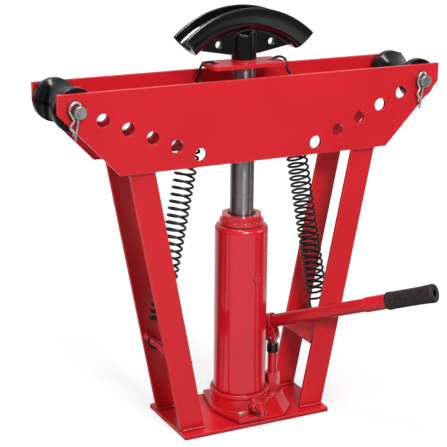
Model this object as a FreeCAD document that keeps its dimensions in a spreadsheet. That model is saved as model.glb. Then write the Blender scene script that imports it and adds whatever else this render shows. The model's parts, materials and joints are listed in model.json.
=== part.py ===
"""Hydraulic pipe bender: a bottle jack in a welded frame pushes a die up between two rollers.

Millimetres, +Z up. The origin is the centre of the floor plate's underside. X runs along the
side plates and the pump handle stands out towards -Y.
"""
import FreeCAD, Part
import math
import os
import re

import Sketcher

Vector = FreeCAD.Vector
UP = Vector(0, 0, 1)
doc = FreeCAD.newDocument("PipeBender")

# Driving sizes: name, value, what it measures
SIZES = [
    # floor plate
    ("base_length", 242, "floor plate along X"),
    ("base_width", 130, "floor plate along Y"),
    ("base_thick", 6, "floor plate thickness"),
    ("base_corner", 3, "floor plate corner radius"),
    # side plates
    ("plate_low", 406, "height of the side plates' lower edge"),
    ("plate_height", 118, "side plate from lower to upper edge"),
    ("plate_length", 600, "side plate along its upper edge"),
    ("plate_foot_length", 424, "side plate along its lower edge"),
    ("plate_end", 27, "upright end edge of a side plate"),
    ("plate_thick", 6, "side plate thickness"),
    ("plate_gap", 92, "between the side plates' inner faces"),
    ("pin_hole_dia", 19, "roller pin holes"),
    ("pin_hole_end", 28, "outermost pin hole from the plate's end"),
    ("pin_hole_pitch", 36, "pin hole spacing along X"),
    ("pin_hole_drop", 24, "outermost pin hole below the upper edge"),
    ("pin_hole_slope", 0.426, "fall of the row of holes towards the middle"),
    # legs and cross plates
    ("leg_thick", 6, "leg bar thickness"),
    ("leg_width", 38.5, "leg bar width along X"),
    ("leg_foot_inset", 21, "leg centre line from the floor plate's end"),
    ("leg_head_inset", 34.5, "leg centre line from the end of the side plate's lower edge"),
    ("leg_lap", 34, "leg lap on the inner face of the side plate"),
    ("cross_low", 105.5, "inner lower edge of the spring cross plates"),
    ("cross_width", 49, "cross plate from its inner to its outer edge"),
    ("cross_tilt", 29, "rise of the cross plates outwards"),
    ("cross_thick", 6, "cross plate thickness"),
    ("hook_hole_dia", 10, "spring hole in a cross plate"),
    ("hook_hole_edge", 5.5, "metal outside that hole"),
    ("weld_size", 4.5, "leg of the fillet welds"),
    # rollers, pins and clips
    ("pin_dia", 18, "roller pin"),
    ("pin_front", 12, "pin end in front of the side plate"),
    ("pin_head_dia", 25, "pin head"),
    ("pin_head_thick", 5, "pin head thickness"),
    ("pin_chamfer", 1.2, "chamfer on the pin"),
    ("roller_length", 86.5, "roller along its pin"),
    ("roller_rim", 30.5, "radius of the roller's rims"),
    ("roller_waist", 19, "radius of the roller at the bottom of its groove"),
    ("roller_hollow", 51.7, "radius of the groove's own curve"),
    ("roller_round", 1.5, "rounding of the roller's edges"),
    ("running_fit", 0.08, "radial clearance of running fits"),
    ("clip_wire", 3.3, "clip wire"),
    ("clip_stand", 6, "clip wire's centre in front of the side plate"),
    ("clip_lean", 10, "lean of the clip's straight leg"),
    ("clip_fit", 0.3, "radial clearance of the clip's leg in the pin"),
    # jack base casting
    ("foot_half_length", 45, "half of the casting's foot along X, beside the jack"),
    ("foot_half_width", 61.5, "half of the foot along Y"),
    ("foot_thick", 8, "foot thickness at the ears"),
    ("casting_radius", 43, "round body of the casting"),
    ("collar_radius", 45, "collar round the foot of the reservoir"),
    ("collar_low", 34, "lower edge of the collar"),
    ("collar_rise", 7, "collar height"),
    ("ear_angle", 66.3, "direction of the back ear's hole, the front one is opposite"),
    ("ear_corner", 30, "corner of an ear from the jack's axis along X"),
    ("ear_hole_reach", 49.8, "ear hole from the jack's axis"),
    ("ear_hole_dia", 10, "ear hole"),
    ("ear_tip_radius", 2.5, "rounding of the ear corners"),
    ("slope_low", 9, "lower edge of the slope in front of the pump"),
    ("slope_high", 21, "upper edge of that slope"),
    ("screw_reach", 34, "holding screws from the jack's axis"),
    ("screw_dia", 8, "holding screw"),
    ("screw_head_dia", 15, "countersunk head"),
    ("screw_depth", 14, "screw in the casting"),
    ("joint_gap", 0.1, "radial gap between pieces that are fixed together"),
    # reservoir, cylinder and ram
    ("tube_outer", 39.5, "outer radius of the reservoir tube"),
    ("tube_wall", 3, "reservoir wall"),
    ("tube_floor", 34, "seat of the base gasket in the casting"),
    ("gasket_thick", 1.5, "base gasket and top gasket"),
    ("shoulder_low", 291, "top of the reservoir's straight wall"),
    ("shoulder_rise", 8.5, "height of its rounded shoulder"),
    ("ring_radius", 33, "top ring"),
    ("ring_top", 306, "upper face of the top ring"),
    ("nut_flats", 58, "top nut across flats"),
    ("nut_rise", 9, "hexagon above the ring"),
    ("nut_turn", 33, "turn of the hexagon"),
    ("skirt_radius", 31, "nut skirt inside the reservoir mouth"),
    ("skirt_drop", 36, "nut skirt below the shoulder's top"),
    ("nut_land", 9.5, "guide length that the nut adds below the shoulder's top"),
    ("cylinder_outer", 28, "outer radius of the pressure cylinder"),
    ("cylinder_bore", 23, "bore radius of the pressure cylinder"),
    ("cylinder_floor", 28, "oil side floor under the piston"),
    ("cylinder_gap", 1.5, "cylinder end below the nut's land"),
    ("ram_radius", 17.5, "ram"),
    ("ram_fall", 205, "travel down from the photographed pose"),
    ("ram_lift", 15, "travel up from the photographed pose"),
    ("stop_gap", 0.5, "gap left at the end stops"),
    ("seal_rise", 7, "piston seal along the ram"),
    ("seal_depth", 3.6, "piston seal groove depth"),
    ("wiper_rise", 5, "wiper seal height"),
    ("wiper_wall", 3.4, "wiper seal wall"),
    ("plug_height", 221, "filler plug above the floor"),
    ("plug_angle", -80, "direction of the filler plug"),
    ("plug_dia", 10, "filler plug head"),
    ("plug_stem_dia", 8, "filler plug stem"),
    ("plug_proud", 2.6, "filler plug head in front of the tube"),
    # spring bracket, springs and die
    ("bracket_lift", 9, "spring bracket above the side plates in the photographed pose"),
    ("bracket_length", 116, "spring bracket along X"),
    ("bracket_width", 52, "spring bracket along Y"),
    ("bracket_thick", 6, "spring bracket thickness"),
    ("bracket_corner", 8, "spring bracket corner radius"),
    ("seat_radius", 18, "round seat under the die"),
    ("seat_rise", 4, "seat height above the bracket"),
    ("spigot_radius", 10, "spigot that locates the die"),
    ("spigot_rise", 20, "spigot above the seat"),
    ("spigot_gap", 0.4, "clearance round and above the spigot"),
    ("hook_hole_end", 15, "spring hole from the bracket's end"),
    ("bracket_hole_dia", 8, "spring hole in the bracket"),
    ("wire_dia", 3, "spring wire"),
    ("coil_radius", 14.5, "coil radius on the wire's centre line"),
    ("hook_radius", 13, "hook radius on the wire's centre line"),
    ("hook_gap", 0.3, "hook wire to the edge that it bears on"),
    ("coil_count", 35, "turns of a spring"),
    ("coil_start", 60.5, "first turn of the coil above the cross plate's lower edge"),
    ("coil_out", 2.8, "coil axis outside the leg's centre line at its first turn"),
    ("coil_drop", 20, "last turn of the coil below the bracket"),
    ("coil_aside", 24.2, "coil axis from the bracket's hole at its last turn"),
    ("boss_rise", 42.5, "die's underside above its seat, at the middle"),
    ("die_lip", 148, "radius of the die's lips"),
    ("die_depth", 32, "die from its lips to its underside"),
    ("die_half_angle", 43.4, "half of the die's sweep"),
    ("die_width", 43, "die width over its lips"),
    ("groove_radius", 17, "half of the pipe's diameter"),
    ("groove_drop", 6, "pipe's centre line below the die's lips"),
    ("die_back_round", 11, "rounding along the die's underside"),
    ("web_thick", 8, "die web thickness"),
    ("web_gap", 7, "lower edge of the web above the seat, beside the boss"),
    ("web_side_angle", 36.7, "end of the web's lower edge, from the middle of the sweep"),
    ("web_side_depth", 5.6, "that end below the die's underside"),
    ("web_hole_angle", 23.5, "web hole, from the middle of the sweep"),
    ("web_hole_depth", 10.8, "web hole below the die's underside"),
    ("web_hole_dia", 9.5, "web hole"),
    # pump
    ("pump_reach", 60, "pump axis from the jack's axis"),
    ("pump_angle", 5, "direction of the pump"),
    ("pump_boss_radius", 17, "boss round the pump"),
    ("pump_boss_top", 22, "top of that boss"),
    ("pump_stem_radius", 8, "pump cylinder's screwed end"),
    ("pump_stem_low", 12, "lower end of the pump cylinder"),
    ("gland_flats", 21, "pump cylinder's hexagon across flats"),
    ("gland_rise", 28, "hexagon above the boss"),
    ("neck_radius", 7.5, "round neck of the pump cylinder"),
    ("neck_rise", 43, "neck above the hexagon"),
    ("gland_nut_radius", 9, "gland nut"),
    ("gland_nut_lap", 9, "gland nut over the neck"),
    ("gland_nut_proud", 4, "gland nut above the neck"),
    ("pump_seal_rise", 2, "pump seal thickness"),
    ("plunger_radius", 6, "pump plunger"),
    ("plunger_low", 20, "plunger's lower end at the end of its stroke"),
    ("eye_radius", 8, "plunger eye"),
    ("eye_thick", 8, "plunger eye thickness"),
    ("rod_proud", 1.4, "plunger's round rod above the gland nut at rest"),
    ("eye_neck", 1.6, "flat neck below the plunger's eye"),
    ("plunger_pin_radius", 3, "plunger pin"),
    ("slot_gap", 0.4, "clearance of the plunger pin in its slot"),
    ("slot_half", 1.6, "half of the slot's straight length"),
    # lever and handle
    ("lever_angle", -57, "direction of the handle seen from above"),
    ("fulcrum_back", -22.6, "fulcrum pin along the lever, from the pump axis"),
    ("fulcrum_rise", 8.2, "fulcrum pin above the plunger pin at rest"),
    ("fulcrum_pin_radius", 4, "fulcrum pin and foot pin"),
    ("arm_thick", 8, "fulcrum arm thickness"),
    ("arm_width", 14, "fulcrum arm width"),
    ("arm_foot", 17, "fulcrum arm's lower end"),
    ("lug_top", 32.5, "top of the lug that holds the arm"),
    ("lug_half_width", 13, "half of the lug across the lever"),
    ("lug_half_length", 8.5, "half of the lug along the lever"),
    ("foot_pin_height", 26, "foot pin above the floor"),
    ("cheek_gap", 0.5, "clearance beside the arm and the eye"),
    ("cheek_thick", 4, "lever cheek thickness"),
    ("pin_overhang", 2.5, "pin ends outside the cheeks"),
    ("handle_tilt", 20, "rise of the handle at rest"),
    ("eye_gap", 3.45, "between the plunger's eye and the handle socket"),
    ("socket_outer", 13.2, "outer radius of the handle socket"),
    ("socket_back", -18, "closed end of the socket along the handle axis"),
    ("socket_front", 1, "open end of the socket"),
    ("socket_floor", 3.5, "thickness of the socket's closed end"),
    ("handle_fit", 0.3, "radial clearance between the sliding tubes"),
    ("lower_tube_radius", 10, "outer radius of the lower handle tube"),
    ("handle_wall", 2, "wall of the lower handle tube"),
    ("upper_tube_start", 163, "lower end of the upper tube"),
    ("upper_tube_radius", 11.3, "outer radius of the upper tube"),
    ("tube_overlap", 30, "lower tube inside the upper one"),
    ("grip_start", 199.5, "lower end of the grip"),
    ("grip_end", 276, "end of the grip"),
    ("grip_radius", 13, "grip"),
    ("grip_cap", 3, "end wall of the grip"),
    ("grip_hole_radius", 5, "hole in the grip's end"),
    # release valve
    ("valve_offset", 2, "valve axis from the jack's axis along X"),
    ("valve_height", 25, "valve axis above the floor"),
    ("valve_boss_radius", 8.4, "valve boss"),
    ("valve_boss_reach", 50, "front of the valve boss"),
    ("valve_nut_flats", 14, "valve packing nut across flats"),
    ("valve_nut_rise", 6, "valve packing nut thickness"),
    ("valve_radius", 4, "valve spindle"),
    ("valve_inner", 37, "inner end of the spindle"),
    ("valve_reach", 78, "outer end of the spindle"),
]
NAMES = [entry[0] for entry in SIZES]

sheet = doc.addObject("Spreadsheet::Sheet", "Sizes")
for row, (name, value, note) in enumerate(SIZES, start=1):
    sheet.set("A%d" % row, note)
    sheet.set("B%d" % row, str(value))
    sheet.setAlias("B%d" % row, name)
doc.recompute()


def link(text):
    """An expression on the sheet's names, written so that other objects can use it."""
    return re.sub(r"[a-z_]\w*", lambda m: "Sizes." + m.group() if m.group() in NAMES else m.group(), text)


def size(text):
    """The value of an expression on the sheet's names."""
    return float(sheet.evalExpression(text))


# Places that several pieces share, as expressions on the sizes
PLATE_TOP = "(plate_low + plate_height)"
PLATE_FACE = "(plate_gap / 2 + plate_thick)"
PIN_HEIGHT = "(" + PLATE_TOP + " - pin_hole_drop)"
PIN_REACH = "(plate_length / 2 - pin_hole_end)"
LEG_FOOT = "(base_length / 2 - leg_foot_inset)"
LEG_HEAD = "(plate_foot_length / 2 - leg_head_inset)"
LEG_SLOPE = "((" + LEG_HEAD + " - " + LEG_FOOT + ") / (plate_low - base_thick))"
CASTING_FLOOR = "base_thick"
FOOT_TOP = "(base_thick + foot_thick)"
COLLAR_TOP = "(collar_low + collar_rise)"
MOUTH = "(shoulder_low + shoulder_rise)"
RING_LOW = "(" + MOUTH + " + gasket_thick)"
NUT_TOP = "(ring_top + nut_rise)"
NUT_LAND = "(" + MOUTH + " - nut_land)"
PISTON_LOW = "(cylinder_floor + ram_fall + stop_gap)"
PISTON_TOP = "(" + NUT_LAND + " - ram_lift - stop_gap)"
BRACKET_LOW = "(" + PLATE_TOP + " + bracket_lift)"
BRACKET_TOP = "(" + BRACKET_LOW + " + bracket_thick)"
SEAT_TOP = "(" + BRACKET_TOP + " + seat_rise)"
HOOK_HOLE = "(bracket_length / 2 - hook_hole_end)"
DIE_BACK = "(die_lip - die_depth)"
GROOVE_CENTRE = "(die_lip - groove_drop)"
DIE_DROP = "(" + DIE_BACK + " - boss_rise)"
DIE_CENTRE = "(" + SEAT_TOP + " - " + DIE_DROP + ")"
PUMP_X = "(pump_reach * cos(pump_angle))"
PUMP_Y = "(pump_reach * sin(pump_angle))"
GLAND_TOP = "(pump_boss_top + gland_rise)"
NECK_TOP = "(" + GLAND_TOP + " + neck_rise)"
GLAND_NUT_TOP = "(" + NECK_TOP + " + gland_nut_proud)"
ROD_TOP = "(" + GLAND_NUT_TOP + " + rod_proud)"
PLUNGER_PIN = "(" + ROD_TOP + " + eye_neck + eye_radius)"
FULCRUM = "(" + PLUNGER_PIN + " + fulcrum_rise)"
HANDLE_HEIGHT = "(" + PLUNGER_PIN + " + eye_radius + eye_gap + socket_outer / cos(handle_tilt))"
CHEEK_INNER = "(arm_thick / 2 + cheek_gap)"
CHEEK_OUTER = "(arm_thick / 2 + cheek_gap + cheek_thick)"
HANDLE_BORE = "(lower_tube_radius + handle_fit)"
SOCKET_SEAT = "(socket_back + socket_floor)"

nodes = []


def new_body(label):
    body = doc.addObject("PartDesign::Body", label)
    body.Label = label
    nodes.append(body)
    return body


def new_sketch(body, role, lift="0"):
    """An empty sketch on one of the body's own planes, lifted along the plane's normal."""
    sketch = body.newObject("Sketcher::SketchObject", body.Name + "_sketch")
    plane = [feature for feature in body.Origin.OriginFeatures if feature.Role == role][0]
    sketch.AttachmentSupport = [(plane, "")]
    sketch.MapMode = "FlatFace"
    if lift != "0":
        sketch.setExpression("AttachmentOffset.Base.z", link(lift))
    return sketch


def pin_point(sketch, edge, point, place):
    """Dimension a point of the sketch from its origin."""
    for kind, text in zip(("DistanceX", "DistanceY"), place):
        index = sketch.addConstraint(Sketcher.Constraint(kind, -1, 1, edge, point, size(text)))
        sketch.setExpression("Constraints[%d]" % index, link(text))


def add_polygon(sketch, corners):
    first = sketch.GeometryCount
    count = len(corners)
    spots = [Vector(size(x), size(y), 0) for x, y in corners]
    for index in range(count):
        sketch.addGeometry(Part.LineSegment(spots[index], spots[(index + 1) % count]), False)
    for index in range(count):
        following = first + (index + 1) % count
        sketch.addConstraint(Sketcher.Constraint("Coincident", first + index, 2, following, 1))
    for index in range(count):
        pin_point(sketch, first + index, 1, corners[index])


def add_circle(sketch, x, y, radius):
    edge = sketch.addGeometry(Part.Circle(Vector(size(x), size(y), 0), UP, size(radius)), False)
    pin_point(sketch, edge, 3, (x, y))
    index = sketch.addConstraint(Sketcher.Constraint("Radius", edge, size(radius)))
    sketch.setExpression("Constraints[%d]" % index, link(radius))


def hexagon(x, y, flats, turn="0"):
    """Corners of a hexagon given across its flats."""
    corners = []
    for index in range(6):
        angle = "(%d + %s)" % (30 + 60 * index, turn)
        reach = "(%s) / 2 / cos(30)" % flats
        corners.append(("%s + %s * cos%s" % (x, reach, angle), "%s + %s * sin%s" % (y, reach, angle)))
    return corners


def solid_volume(body):
    doc.recompute()
    return body.Shape.Volume


def pad(body, sketch, length, both=False, back=False):
    feature = body.newObject("PartDesign::Pad", body.Name + "_pad")
    feature.Profile = sketch
    feature.setExpression("Length", link(length))
    feature.Midplane = both
    feature.Reversed = back
    return feature


def pocket(body, sketch, length=None, back=False):
    """Cut a sketch through everything, or to a length on one side."""
    before = solid_volume(body)
    feature = body.newObject("PartDesign::Pocket", body.Name + "_pocket")
    feature.Profile = sketch
    if length is None:
        feature.Type = "ThroughAll"
        feature.Midplane = True
    else:
        feature.setExpression("Length", link(length))
        feature.Reversed = back
    check_cut(body, before)
    return feature


def check_cut(body, before):
    after = solid_volume(body)
    if not 0 < after < before:
        raise ValueError("%s: a cut took nothing away" % body.Label)


def revolve(body, corners, role="XZ_Plane", cut=False):
    """Turn a closed outline round the body's upright sketch axis."""
    before = solid_volume(body) if cut else None
    sketch = new_sketch(body, role)
    add_polygon(sketch, corners)
    kind = "PartDesign::Groove" if cut else "PartDesign::Revolution"
    feature = body.newObject(kind, body.Name + "_turning")
    feature.Profile = sketch
    feature.ReferenceAxis = (sketch, ["V_Axis"])
    if cut:
        check_cut(body, before)
    return feature


def dress(body, kind, amount, chosen):
    """Fillet or chamfer the edges of the body that a test picks."""
    doc.recompute()
    base = body.Tip
    picks = ["Edge%d" % number for number, edge in enumerate(base.Shape.Edges, start=1) if chosen(edge)]
    if not picks:
        raise ValueError("%s: no edge to round" % body.Label)
    feature = body.newObject("PartDesign::" + kind, body.Name + "_edge")
    feature.Base = (base, picks)
    feature.setExpression("Radius" if kind == "Fillet" else "Size", link(amount))
    return feature


def place(body, x="0", y="0", z="0", turn=None):
    """Move a body to its place, turned first when a rotation is given."""
    if turn is not None:
        body.Placement = FreeCAD.Placement(Vector(), turn)
    for axis, text in zip("xyz", (x, y, z)):
        body.setExpression("Placement.Base." + axis, link(text))


def turned(label, corners):
    """A piece turned on a lathe, its axis along Z."""
    body = new_body(label)
    revolve(body, corners)
    return body


def ring(label, inner, outer, low, high):
    return turned(label, [(inner, low), (outer, low), (outer, high), (inner, high)])


def centre_of(edge):
    return edge.BoundBox.Center


def is_circle(edge, radius, height=None, tolerance=0.01):
    curve = edge.Curve
    if not isinstance(curve, Part.Circle) or abs(curve.Radius - radius) > tolerance:
        return False
    return height is None or abs(curve.Center.z - height) < tolerance


def along(edge, axis):
    """True for a straight edge that runs along a principal axis."""
    if not isinstance(edge.Curve, Part.Line):
        return False
    return abs(abs(edge.tangentAt(edge.FirstParameter).dot(axis)) - 1) < 1e-6


# Floor plate. A flat steel plate that carries the jack and the four legs. The two ear holes
# of the casting go on through it, and four countersunk holes take the holding screws.
base_plate = new_body("base_plate")
sketch = new_sketch(base_plate, "XY_Plane")
half_x, half_y = "base_length / 2", "base_width / 2"
add_polygon(sketch, [("-" + half_x, "-" + half_y), (half_x, "-" + half_y),
                     (half_x, half_y), ("-" + half_x, half_y)])
pad(base_plate, sketch, "base_thick")
dress(base_plate, "Fillet", "base_corner", lambda edge: along(edge, UP))

EARS = ["ear_angle", "(ear_angle + 180)"]
SCREWS = ["(30 + %d)" % (90 * index) for index in range(4)]


def polar(reach, angle):
    return "%s * cos(%s)" % (reach, angle), "%s * sin(%s)" % (reach, angle)


sketch = new_sketch(base_plate, "XY_Plane")
for angle in EARS:
    x, y = polar("ear_hole_reach", angle)
    add_circle(sketch, x, y, "ear_hole_dia / 2")
pocket(base_plate, sketch)

before = solid_volume(base_plate)
sketch = new_sketch(base_plate, "XY_Plane")
for angle in SCREWS:
    x, y = polar("screw_reach", angle)
    add_circle(sketch, x, y, "screw_dia / 2 + joint_gap")
doc.recompute()
hole = base_plate.newObject("PartDesign::Hole", "base_plate_screw_holes")
hole.Profile = sketch
doc.recompute()
hole.DepthType = "ThroughAll"
hole.Reversed = True
hole.setExpression("Diameter", link("screw_dia + 2 * joint_gap"))
hole.HoleCutType = "Countersink"
hole.HoleCutCustomValues = True
hole.setExpression("HoleCutDiameter", link("screw_head_dia + 2 * joint_gap"))
hole.HoleCutCountersinkAngle = 90
check_cut(base_plate, before)


# Side plates. Two flat plates with cut-off lower corners and a sloping row of pin holes at
# either end, so that the rollers can be set closer together for smaller pipes.
def side_plate(label, y):
    body = new_body(label)
    outline = new_sketch(body, "XZ_Plane")
    top, foot, end = "plate_length / 2", "plate_foot_length / 2", PLATE_TOP + " - plate_end"
    add_polygon(outline, [("-" + foot, "plate_low"), (foot, "plate_low"), (top, end), (top, PLATE_TOP),
                          ("-" + top, PLATE_TOP), ("-" + top, end)])
    pad(body, outline, "plate_thick")
    holes = new_sketch(body, "XZ_Plane")
    for index in range(6):
        x = "(%s - %d * pin_hole_pitch)" % (PIN_REACH, index)
        z = "%s - %d * pin_hole_pitch * pin_hole_slope" % (PIN_HEIGHT, index)
        for side in ("", "-"):
            add_circle(holes, side + x, z, "pin_hole_dia / 2")
    pocket(body, holes)
    place(body, y=y)


side_plate("side_plate_front", "-plate_gap / 2")
side_plate("side_plate_back", PLATE_FACE)


# Legs. Four flat bars that lean outwards, welded to the floor plate and lapped on the inner
# faces of the side plates.
def leg(label, side, y):
    body = new_body(label)
    outline = new_sketch(body, "XZ_Plane")
    head = "(plate_low + leg_lap)"
    reach = "(%s + %s * (%s - base_thick))" % (LEG_FOOT, LEG_SLOPE, head)
    add_polygon(outline, [(side + "(%s - leg_width / 2)" % LEG_FOOT, "base_thick"),
                          (side + "(%s + leg_width / 2)" % LEG_FOOT, "base_thick"),
                          (side + "(%s + leg_width / 2)" % reach, head),
                          (side + "(%s - leg_width / 2)" % reach, head)])
    pad(body, outline, "leg_thick")
    place(body, y=y)


for side_name, side in (("left", "-"), ("right", "")):
    leg("leg_front_" + side_name, side, "leg_thick - plate_gap / 2")
    leg("leg_back_" + side_name, side, "plate_gap / 2")

# Cross plates. A flat bar across each pair of legs, tilted up outwards, with a hole near its
# outer edge for a spring hook.
LEG_GAP = "(plate_gap - 2 * leg_thick)"
CROSS_REACH = "(%s - leg_width / 2 + %s * (cross_low - base_thick))" % (LEG_FOOT, LEG_SLOPE)
for side_name, half_turn, sign in (("left", 180, "-"), ("right", 0, "")):
    body = new_body("cross_plate_" + side_name)
    sketch = new_sketch(body, "XY_Plane")
    half_gap = LEG_GAP + " / 2"
    add_polygon(sketch, [("0", "-" + half_gap), ("cross_width", "-" + half_gap),
                         ("cross_width", half_gap), ("0", half_gap)])
    pad(body, sketch, "cross_thick")
    sketch = new_sketch(body, "XY_Plane")
    add_circle(sketch, "cross_width - hook_hole_edge - hook_hole_dia / 2", "0", "hook_hole_dia / 2")
    pocket(body, sketch)
    turn = FreeCAD.Rotation(UP, half_turn).multiply(FreeCAD.Rotation(Vector(0, 1, 0), -size("cross_tilt")))
    place(body, x=sign + CROSS_REACH, z="cross_low", turn=turn)


# Weld beads. Fillet welds with a rounded face: along the lower edges of the side plates where
# they cross the legs, round the legs' feet, and where the cross plates meet the legs.
def bead(start, end, first, second):
    """A bead from start to end in the corner between two directions."""
    reach = size("weld_size")
    belly = start + (first + second) * (reach * 0.58)
    corner_a, corner_b = start + first * reach, start + second * reach
    face = Part.Face(Part.Wire([Part.makeLine(start, corner_a),
                                Part.Arc(corner_a, belly, corner_b).toShape(),
                                Part.makeLine(corner_b, start)]))
    return face.extrude(end - start)


def mirrored(shape, normal):
    return shape.mirror(Vector(), normal)


slope = size(LEG_SLOPE)
half_leg = size("leg_width") / 2
leg_face = size("plate_gap") / 2
leg_inner = leg_face - size("leg_thick")
floor_top = size("base_thick")
quarter = []
foot = size(LEG_FOOT)
head = size(LEG_HEAD)
plate_low = size("plate_low")
quarter.append(bead(Vector(head - half_leg, leg_face, plate_low), Vector(head + half_leg, leg_face, plate_low),
                    Vector(0, 1, 0), Vector(0, 0, -1)))
quarter.append(bead(Vector(foot - half_leg, leg_face, floor_top), Vector(foot + half_leg, leg_face, floor_top),
                    Vector(0, 1, 0), UP))
quarter.append(bead(Vector(foot - half_leg, leg_inner, floor_top), Vector(foot + half_leg, leg_inner, floor_top),
                    Vector(0, -1, 0), UP))
tilt_turn = FreeCAD.Rotation(Vector(0, 1, 0), -size("cross_tilt"))
cross_out, cross_up = tilt_turn.multVec(Vector(1, 0, 0)), tilt_turn.multVec(UP)
cross_inner = Vector(size(CROSS_REACH), 0, size("cross_low"))
top_edge = cross_inner + cross_up * size("cross_thick") + Vector(0, leg_inner, 0)
quarter.append(bead(top_edge + cross_out * 6, top_edge + cross_out * size("cross_width"), cross_up, Vector(0, -1, 0)))
welds = []
for piece in quarter:
    for pair in (piece, mirrored(piece, Vector(1, 0, 0))):
        welds += [pair, mirrored(pair, Vector(0, 1, 0))]
weld_beads = doc.addObject("Part::Feature", "weld_beads")
weld_beads.Label = "weld_beads"
weld_beads.Shape = Part.makeCompound(welds)
nodes.append(weld_beads)

# Rollers. Two cast rollers with rims at the ends and a hollow waist for the pipe.
for side_name, sign in (("left", "-"), ("right", "")):
    body = new_body("roller_" + side_name)
    bore = "pin_dia / 2 + running_fit"
    half = "roller_length / 2"
    revolve(body, [(bore, "-" + half), ("roller_rim", "-" + half), ("roller_rim", half), (bore, half)],
            role="XY_Plane")
    before = solid_volume(body)
    sketch = new_sketch(body, "XY_Plane")
    add_circle(sketch, "roller_waist + roller_hollow", "0", "roller_hollow")
    hollow = body.newObject("PartDesign::Groove", body.Name + "_hollow")
    hollow.Profile = sketch
    hollow.ReferenceAxis = (sketch, ["V_Axis"])
    check_cut(body, before)
    rim = size("roller_rim")
    dress(body, "Fillet", "roller_round", lambda edge: is_circle(edge, rim))
    place(body, x=sign + PIN_REACH, z=PIN_HEIGHT)

# Roller pins. Round bars through both side plates, with a head at the back and a cross hole
# in front for the clip.
for side_name, sign in (("left", "-"), ("right", "")):
    body = new_body("roller_pin_" + side_name)
    face = PLATE_FACE
    revolve(body, [("0", "-%s - pin_front" % face), ("pin_dia / 2", "-%s - pin_front" % face),
                   ("pin_dia / 2", face), ("pin_head_dia / 2", face),
                   ("pin_head_dia / 2", face + " + pin_head_thick"), ("0", face + " + pin_head_thick")],
            role="XY_Plane")
    front = -size(face) - size("pin_front")
    back = size(face) + size("pin_head_thick")
    dress(body, "Chamfer", "pin_chamfer",
          lambda edge: isinstance(edge.Curve, Part.Circle) and (abs(centre_of(edge).y - front) < 0.01
                                                                or abs(centre_of(edge).y - back) < 0.01))
    sketch = new_sketch(body, "XY_Plane")
    add_circle(sketch, "0", "-%s - clip_stand" % face, "clip_wire / 2 + clip_fit")
    pocket(body, sketch)
    turn = FreeCAD.Rotation(Vector(0, 1, 0), size("clip_lean"))
    place(body, x=sign + PIN_REACH, z=PIN_HEIGHT, turn=turn)


def rounded_path(points, radii):
    """Straight runs joined by tangent arcs, one radius for each inner point."""
    edges = []
    start = points[0]
    for before_point, corner, after_point, radius in zip(points, points[1:], points[2:], radii):
        incoming = (corner - before_point).normalize()
        outgoing = (after_point - corner).normalize()
        half_turn = incoming.getAngle(outgoing) / 2
        setback = radius * math.tan(half_turn)
        arc_start = corner - incoming * setback
        arc_end = corner + outgoing * setback
        inward = (outgoing - incoming).normalize()
        arc_middle = corner + inward * (radius / math.cos(half_turn) - radius)
        if (arc_start - start).Length > 1e-6:
            edges.append(Part.makeLine(start, arc_start))
        edges.append(Part.Arc(arc_start, arc_middle, arc_end).toShape())
        start = arc_end
    edges.append(Part.makeLine(start, points[-1]))
    return edges


def wire_solid(edges, radius):
    """Round wire along a path of joined edges."""
    path = Part.Wire(edges)
    first = edges[0]
    begin = first.valueAt(first.FirstParameter)
    direction = first.tangentAt(first.FirstParameter)
    section = Part.Wire([Part.makeCircle(radius, begin, direction)])
    return path.makePipeShell([section], True, False)


# R-clips. Bent wire: a straight leg through the pin, a round loop beside it and a waved leg
# that grips the outside of the pin. Sizes are across and up, along the straight leg.
CLIPS = {
    "left": {"across": 14.4, "top": 13.0, "bend": 5.0, "leg": -38.5, "waist": (-5.0, -11.2), "belly": (-10.8, -21.0),
             "tip": (-3.8, -32.0), "elbow": (-14.4, 0.5)},
    "right": {"across": 11.2, "top": 12.3, "bend": 4.2, "leg": -41.0, "waist": (-5.2, -11.6), "belly": (-8.6, -20.0),
              "tip": (-3.8, -31.0), "elbow": (-11.2, -3.2)},
}
clip_solids = {}
for side_name, sign in (("left", -1), ("right", 1)):
    shape = CLIPS[side_name]
    width, top = shape["across"], shape["top"]
    flat = [(0, shape["leg"]), (0, top), (-width, top), shape["elbow"], shape["waist"], shape["belly"],
            (shape["tip"][0] + 0.2, shape["tip"][1] + 5.5), shape["tip"]]
    points = [Vector(across, 0, rise) for across, rise in flat]
    radii = [shape["bend"], (width - shape["bend"]) * 0.995, 7.0, 2.2, 3.4, 3.0]
    clip = doc.addObject("Part::Feature", "r_clip_" + side_name)
    clip.Label = "r_clip_" + side_name
    clip.Shape = wire_solid(rounded_path(points, radii), size("clip_wire") / 2)
    clip.Placement = FreeCAD.Placement(
        Vector(sign * size(PIN_REACH), -size(PLATE_FACE) - size("clip_stand"), size(PIN_HEIGHT)),
        FreeCAD.Rotation(Vector(0, 1, 0), size("clip_lean")))
    nodes.append(clip)

# Jack base casting. A round body with a collar for the reservoir tube on a flat foot, whose two
# ears have open holes. A slope rises to the boss for the pump, and there is a lug for the
# fulcrum arm and a boss for the release valve. Oil passages join the pump to the cylinder.
jack_base = new_body("jack_base")
tube_seat = "tube_outer + joint_gap"
cylinder_seat = "cylinder_outer + joint_gap"
revolve(jack_base, [("0", CASTING_FLOOR), ("casting_radius", CASTING_FLOOR), ("casting_radius", "collar_low"),
                    ("collar_radius", "collar_low"), ("collar_radius", COLLAR_TOP), (tube_seat, COLLAR_TOP),
                    (tube_seat, "tube_floor"), (cylinder_seat, "tube_floor"),
                    (cylinder_seat, "cylinder_floor"), ("0", "cylinder_floor")])
collar_radius = size("collar_radius")
dress(jack_base, "Fillet", "1.5", lambda edge: is_circle(edge, collar_radius))

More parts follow.
